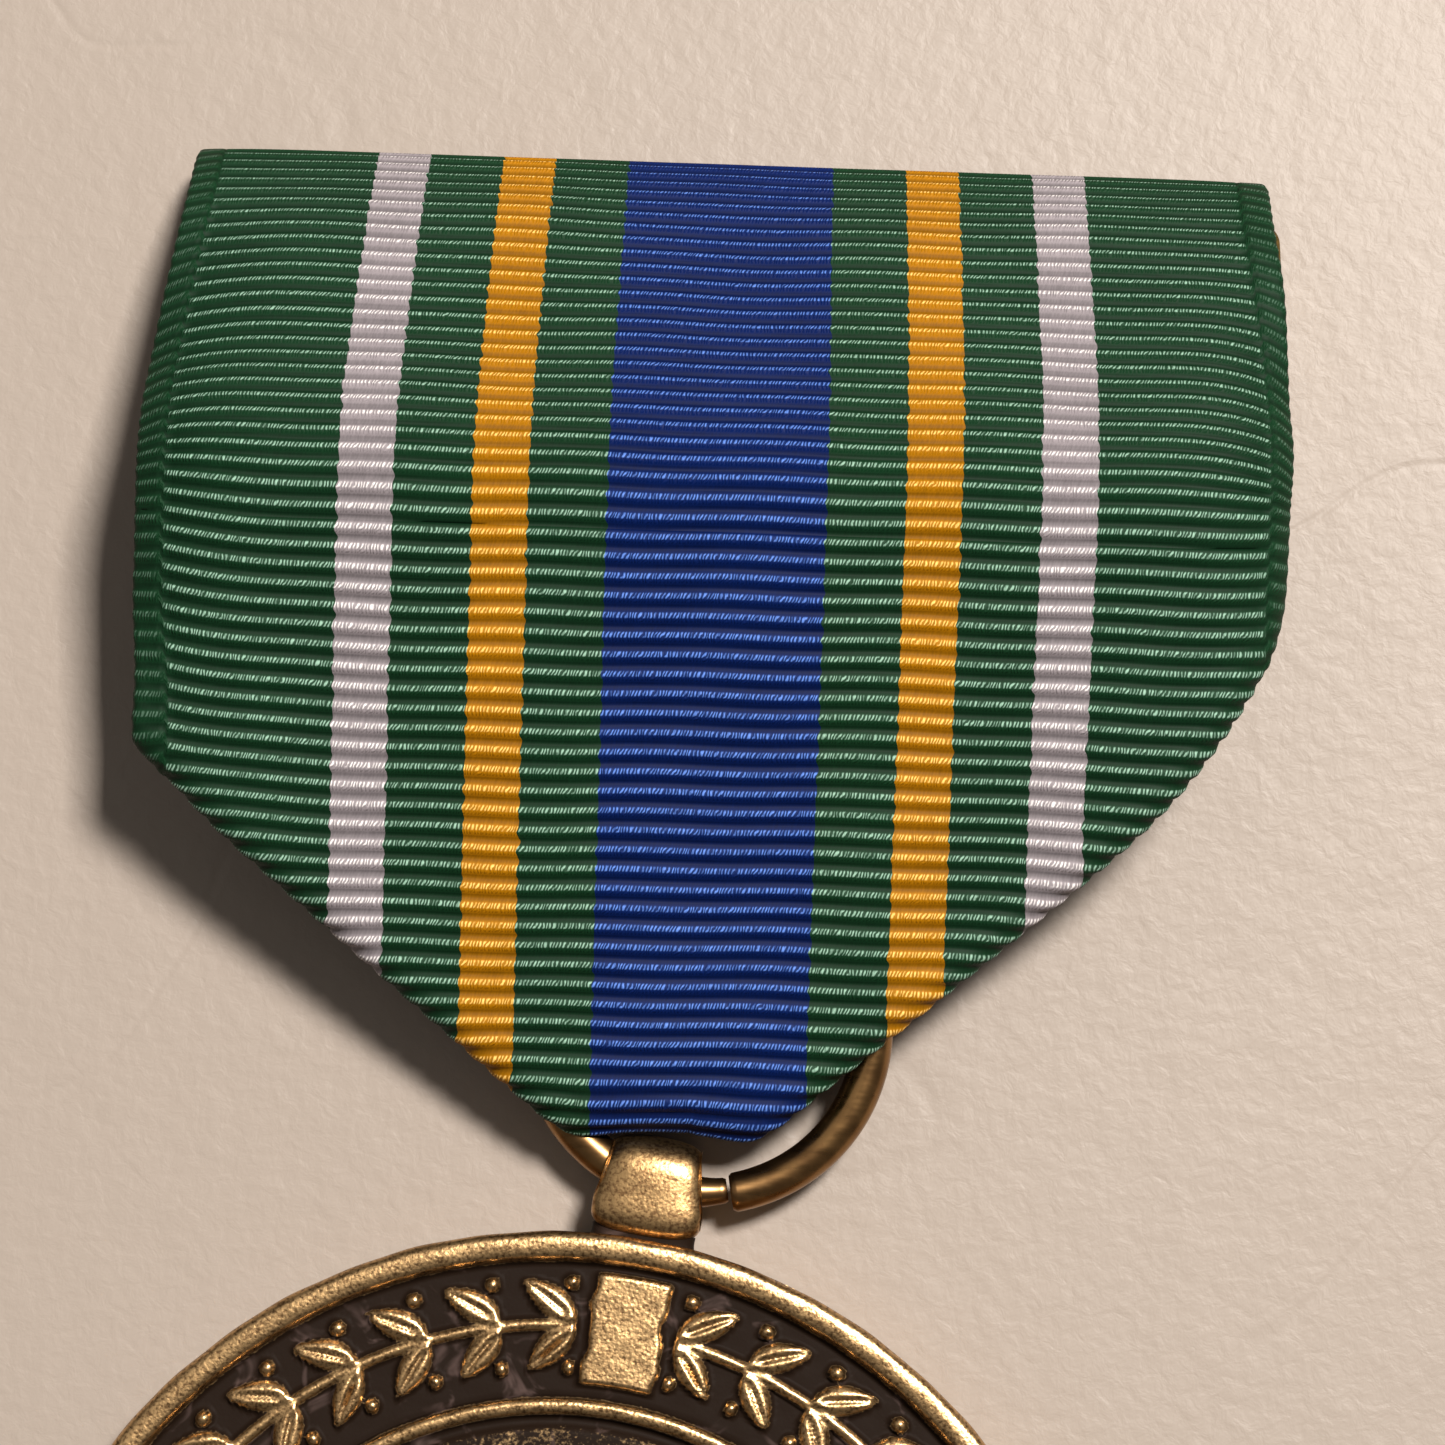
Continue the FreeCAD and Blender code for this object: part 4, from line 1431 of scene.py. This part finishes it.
    def build_back(self, place: DiscFrame) -> bpy.types.Object:
        """Make the back half: a plain rim, and a sunk field with a wreath and raised rays."""
        cols = self.back_columns
        angle = full_turn(cols)
        r = np.linspace(0.3, 16.2, 92)[:, None] * np.ones(cols)
        ang = angle[None, :] * np.ones_like(r)
        sunk = 0.24 * (1.0 - smooth(r, 15.0, 15.3))
        wreath = self.band(r + 2.2, ang) * smooth(r, 9.5, 9.7) * (1.0 - smooth(r, 13.2, 13.4))
        rays = 0.5 + 0.5 * np.cos(ang * 24.0)
        rays = rays * smooth(r, 1.6, 2.4) * (1.0 - smooth(r, 7.6, 8.0))
        boss = np.clip(1.0 - (r / 1.5) ** 4, 0.0, 1.0)
        raised = np.maximum(np.maximum(wreath, 0.7 * rays), boss)
        ring = smooth(r, 8.3, 8.45) * (1.0 - smooth(r, 8.75, 8.9))
        raised = np.maximum(raised, 0.8 * ring)
        z = sunk - 0.2 * raised * (sunk > 0.1)
        relief = np.where(sunk > 0.1, 0.1 + 0.8 * raised, 0.9)
        skirt_r = np.array([self.radius - 0.1, self.radius, self.radius, 9.0, 0.4])[:, None] * np.ones(cols)
        skirt_z = np.array([0.05, 0.2, 1.37, 1.38, 1.38])[:, None] * np.ones(cols)
        skirt_v = np.array([0.85, 0.7, 0.4, 0.1, 0.1])[:, None] * np.ones(cols)
        return self._half("disc_back", place, (r, z, relief), (skirt_r, skirt_z, skirt_v))

    def _half(self, name: str, place: DiscFrame, face: Rows, skirt: Rows) -> bpy.types.Object:
        """Close one struck face with its edge and hidden side, and let it ride on the medallion.

        Args:
            name: Object name.
            place: Frame of the disc, with the struck metal's finish.
            face: Radii, heights and relief values of the struck face.
            skirt: The same three for the edge and the hidden side.
        Returns:
            The object.
        """
        r, z, relief = (np.concatenate(pair) for pair in zip(face, skirt))
        surface = outward(turned_surface(r, z, r.shape[1], {"relief": relief}))
        surface.points = place.from_centre(surface.points)
        obj = make_piece(name, surface, self.crease_deg)
        obj.data.materials.append(place.finish)
        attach(obj, "medallion")
        return obj


# ---------------------------------------------------------------- brooch, stage, light and camera


class Brooch:
    """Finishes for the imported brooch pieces, which keep their own shapes."""

    def dress(self) -> None:
        """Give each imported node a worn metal."""
        brass = WireFinish("brooch_brass", srgb(206, 172, 104), srgb(176, 140, 80), 0.28, 0.003).build()
        catch = WireFinish("catch_brass", srgb(196, 166, 112), srgb(156, 126, 78), 0.24, 0.003).build()
        steel = WireFinish("pin_steel", srgb(188, 188, 190), srgb(110, 108, 106), 0.18, 0.006).build()
        chosen = {"brooch_bar": brass, "hinge_bracket": catch, "catch_base": catch, "catch_lock": catch}
        chosen |= {"hinge_rivet": steel, "pin_stem": steel}
        for name, material in chosen.items():
            node = frame["nodes"][name]
            obj = node if isinstance(node, bpy.types.Object) else bpy.data.objects[name]
            for slot in obj.material_slots:
                slot.material = material


@dataclass
class Studio:
    """Table top, lights and camera."""

    frame_px: float = 1445.0
    focal_px: float = 4606.2
    eye: tuple[float, float, float] = (2.924, -1.598, 140.48)
    pitch_deg: float = 7.064
    yaw_deg: float = 0.538
    roll_deg: float = 2.069
    sensor_mm: float = 36.0
    table_size: float = 3.0
    surround: float = 0.13

    def table(self) -> None:
        """Lay the table under the medal."""
        bpy.ops.mesh.primitive_plane_add(size=self.table_size, location=(0.0, 0.0, -0.00002))
        plane = bpy.context.object
        plane.name = "table"
        plane.data.materials.append(TableFinish().build())

    def light(self, name: str, place: Colour, size: float, power: float, colour: Colour) -> None:
        """Add one soft lamp aimed at the medal.

        Args:
            name: Lamp name.
            place: Position in metres.
            size: Width of the lamp in metres.
            power: Power in watts.
            colour: Linear colour.
        """
        data = bpy.data.lights.new(name, "AREA")
        data.size, data.energy, data.color = size, power, colour
        lamp = bpy.data.objects.new(name, data)
        bpy.context.scene.collection.objects.link(lamp)
        lamp.location = place
        back = np.array(place) / np.linalg.norm(place)
        side = np.cross([0.0, 1.0, 0.0], back)
        side /= np.linalg.norm(side)
        up = np.cross(back, side)
        rows = [[side[i], up[i], back[i]] for i in range(3)]
        lamp.rotation_euler = Matrix(rows).to_euler()

    def lights(self) -> None:
        """Warm window light from the upper right, weak fill, and a pale surround."""
        self.light("key", (0.19, 0.222, 0.56), 0.115, 7.7, (1.0, 0.943, 0.885))
        self.light("fill", (-0.30, 0.10, 0.50), 0.5, 0.26, (1.0, 0.95, 0.90))
        world = bpy.data.worlds.new("surround")
        world.use_nodes = True
        background = world.node_tree.nodes["Background"]
        background.inputs[0].default_value = (1.0, 0.93, 0.86, 1.0)
        background.inputs[1].default_value = self.surround
        bpy.context.scene.world = world
        bpy.context.scene.view_settings.view_transform = "Standard"

    def camera(self) -> None:
        """Look down from just below the middle of the medal."""
        a, b, c = (math.radians(v) for v in (self.pitch_deg, self.yaw_deg, self.roll_deg))
        turn = Matrix.Rotation(b, 4, "Y") @ Matrix.Rotation(a, 4, "X") @ Matrix.Rotation(c, 4, "Z")
        data = bpy.data.cameras.new("view")
        data.sensor_width = self.sensor_mm
        data.lens = self.sensor_mm * self.focal_px / self.frame_px
        data.clip_start = 0.01
        obj = bpy.data.objects.new("view", data)
        bpy.context.scene.collection.objects.link(obj)
        obj.matrix_world = Matrix.Translation([v * MM for v in self.eye]) @ turn
        bpy.context.scene.camera = obj


def main() -> None:
    """Build every sub-assembly in order."""
    logging.basicConfig(level=logging.INFO, format="%(message)s")
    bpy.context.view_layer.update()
    studio = Studio()
    studio.camera()
    studio.table()
    studio.lights()
    ribbon = Ribbon(RibbonSize())
    for piece in ribbon.build():
        LOG.info("%s: %d faces", piece.name, len(piece.data.polygons))
    thread = ThreadFinish().build()
    rows = [
        StitchRow("thread_hem", "hem_stitches", 15, 15, 1.2, 1.93, 2.1, 0.0, 0.84),
        StitchRow("thread_tail", "tail_stitches", 3, 1, 4.3, 1.0, 4.3, 1.0, 1.62),
    ]
    for row in rows:
        piece = row.build(ribbon)
        piece.data.materials.append(thread)
        LOG.info("%s: %d faces", piece.name, len(piece.data.polygons))
    place = DiscFrame(PatinaFinish().build())
    disc = Disc()
    for piece in (JumpRing().build(), Lug().build(place), disc.build_front(place), disc.build_back(place)):
        LOG.info("%s: %d faces", piece.name, len(piece.data.polygons))
    Brooch().dress()


if __name__ == "__main__":
    main()
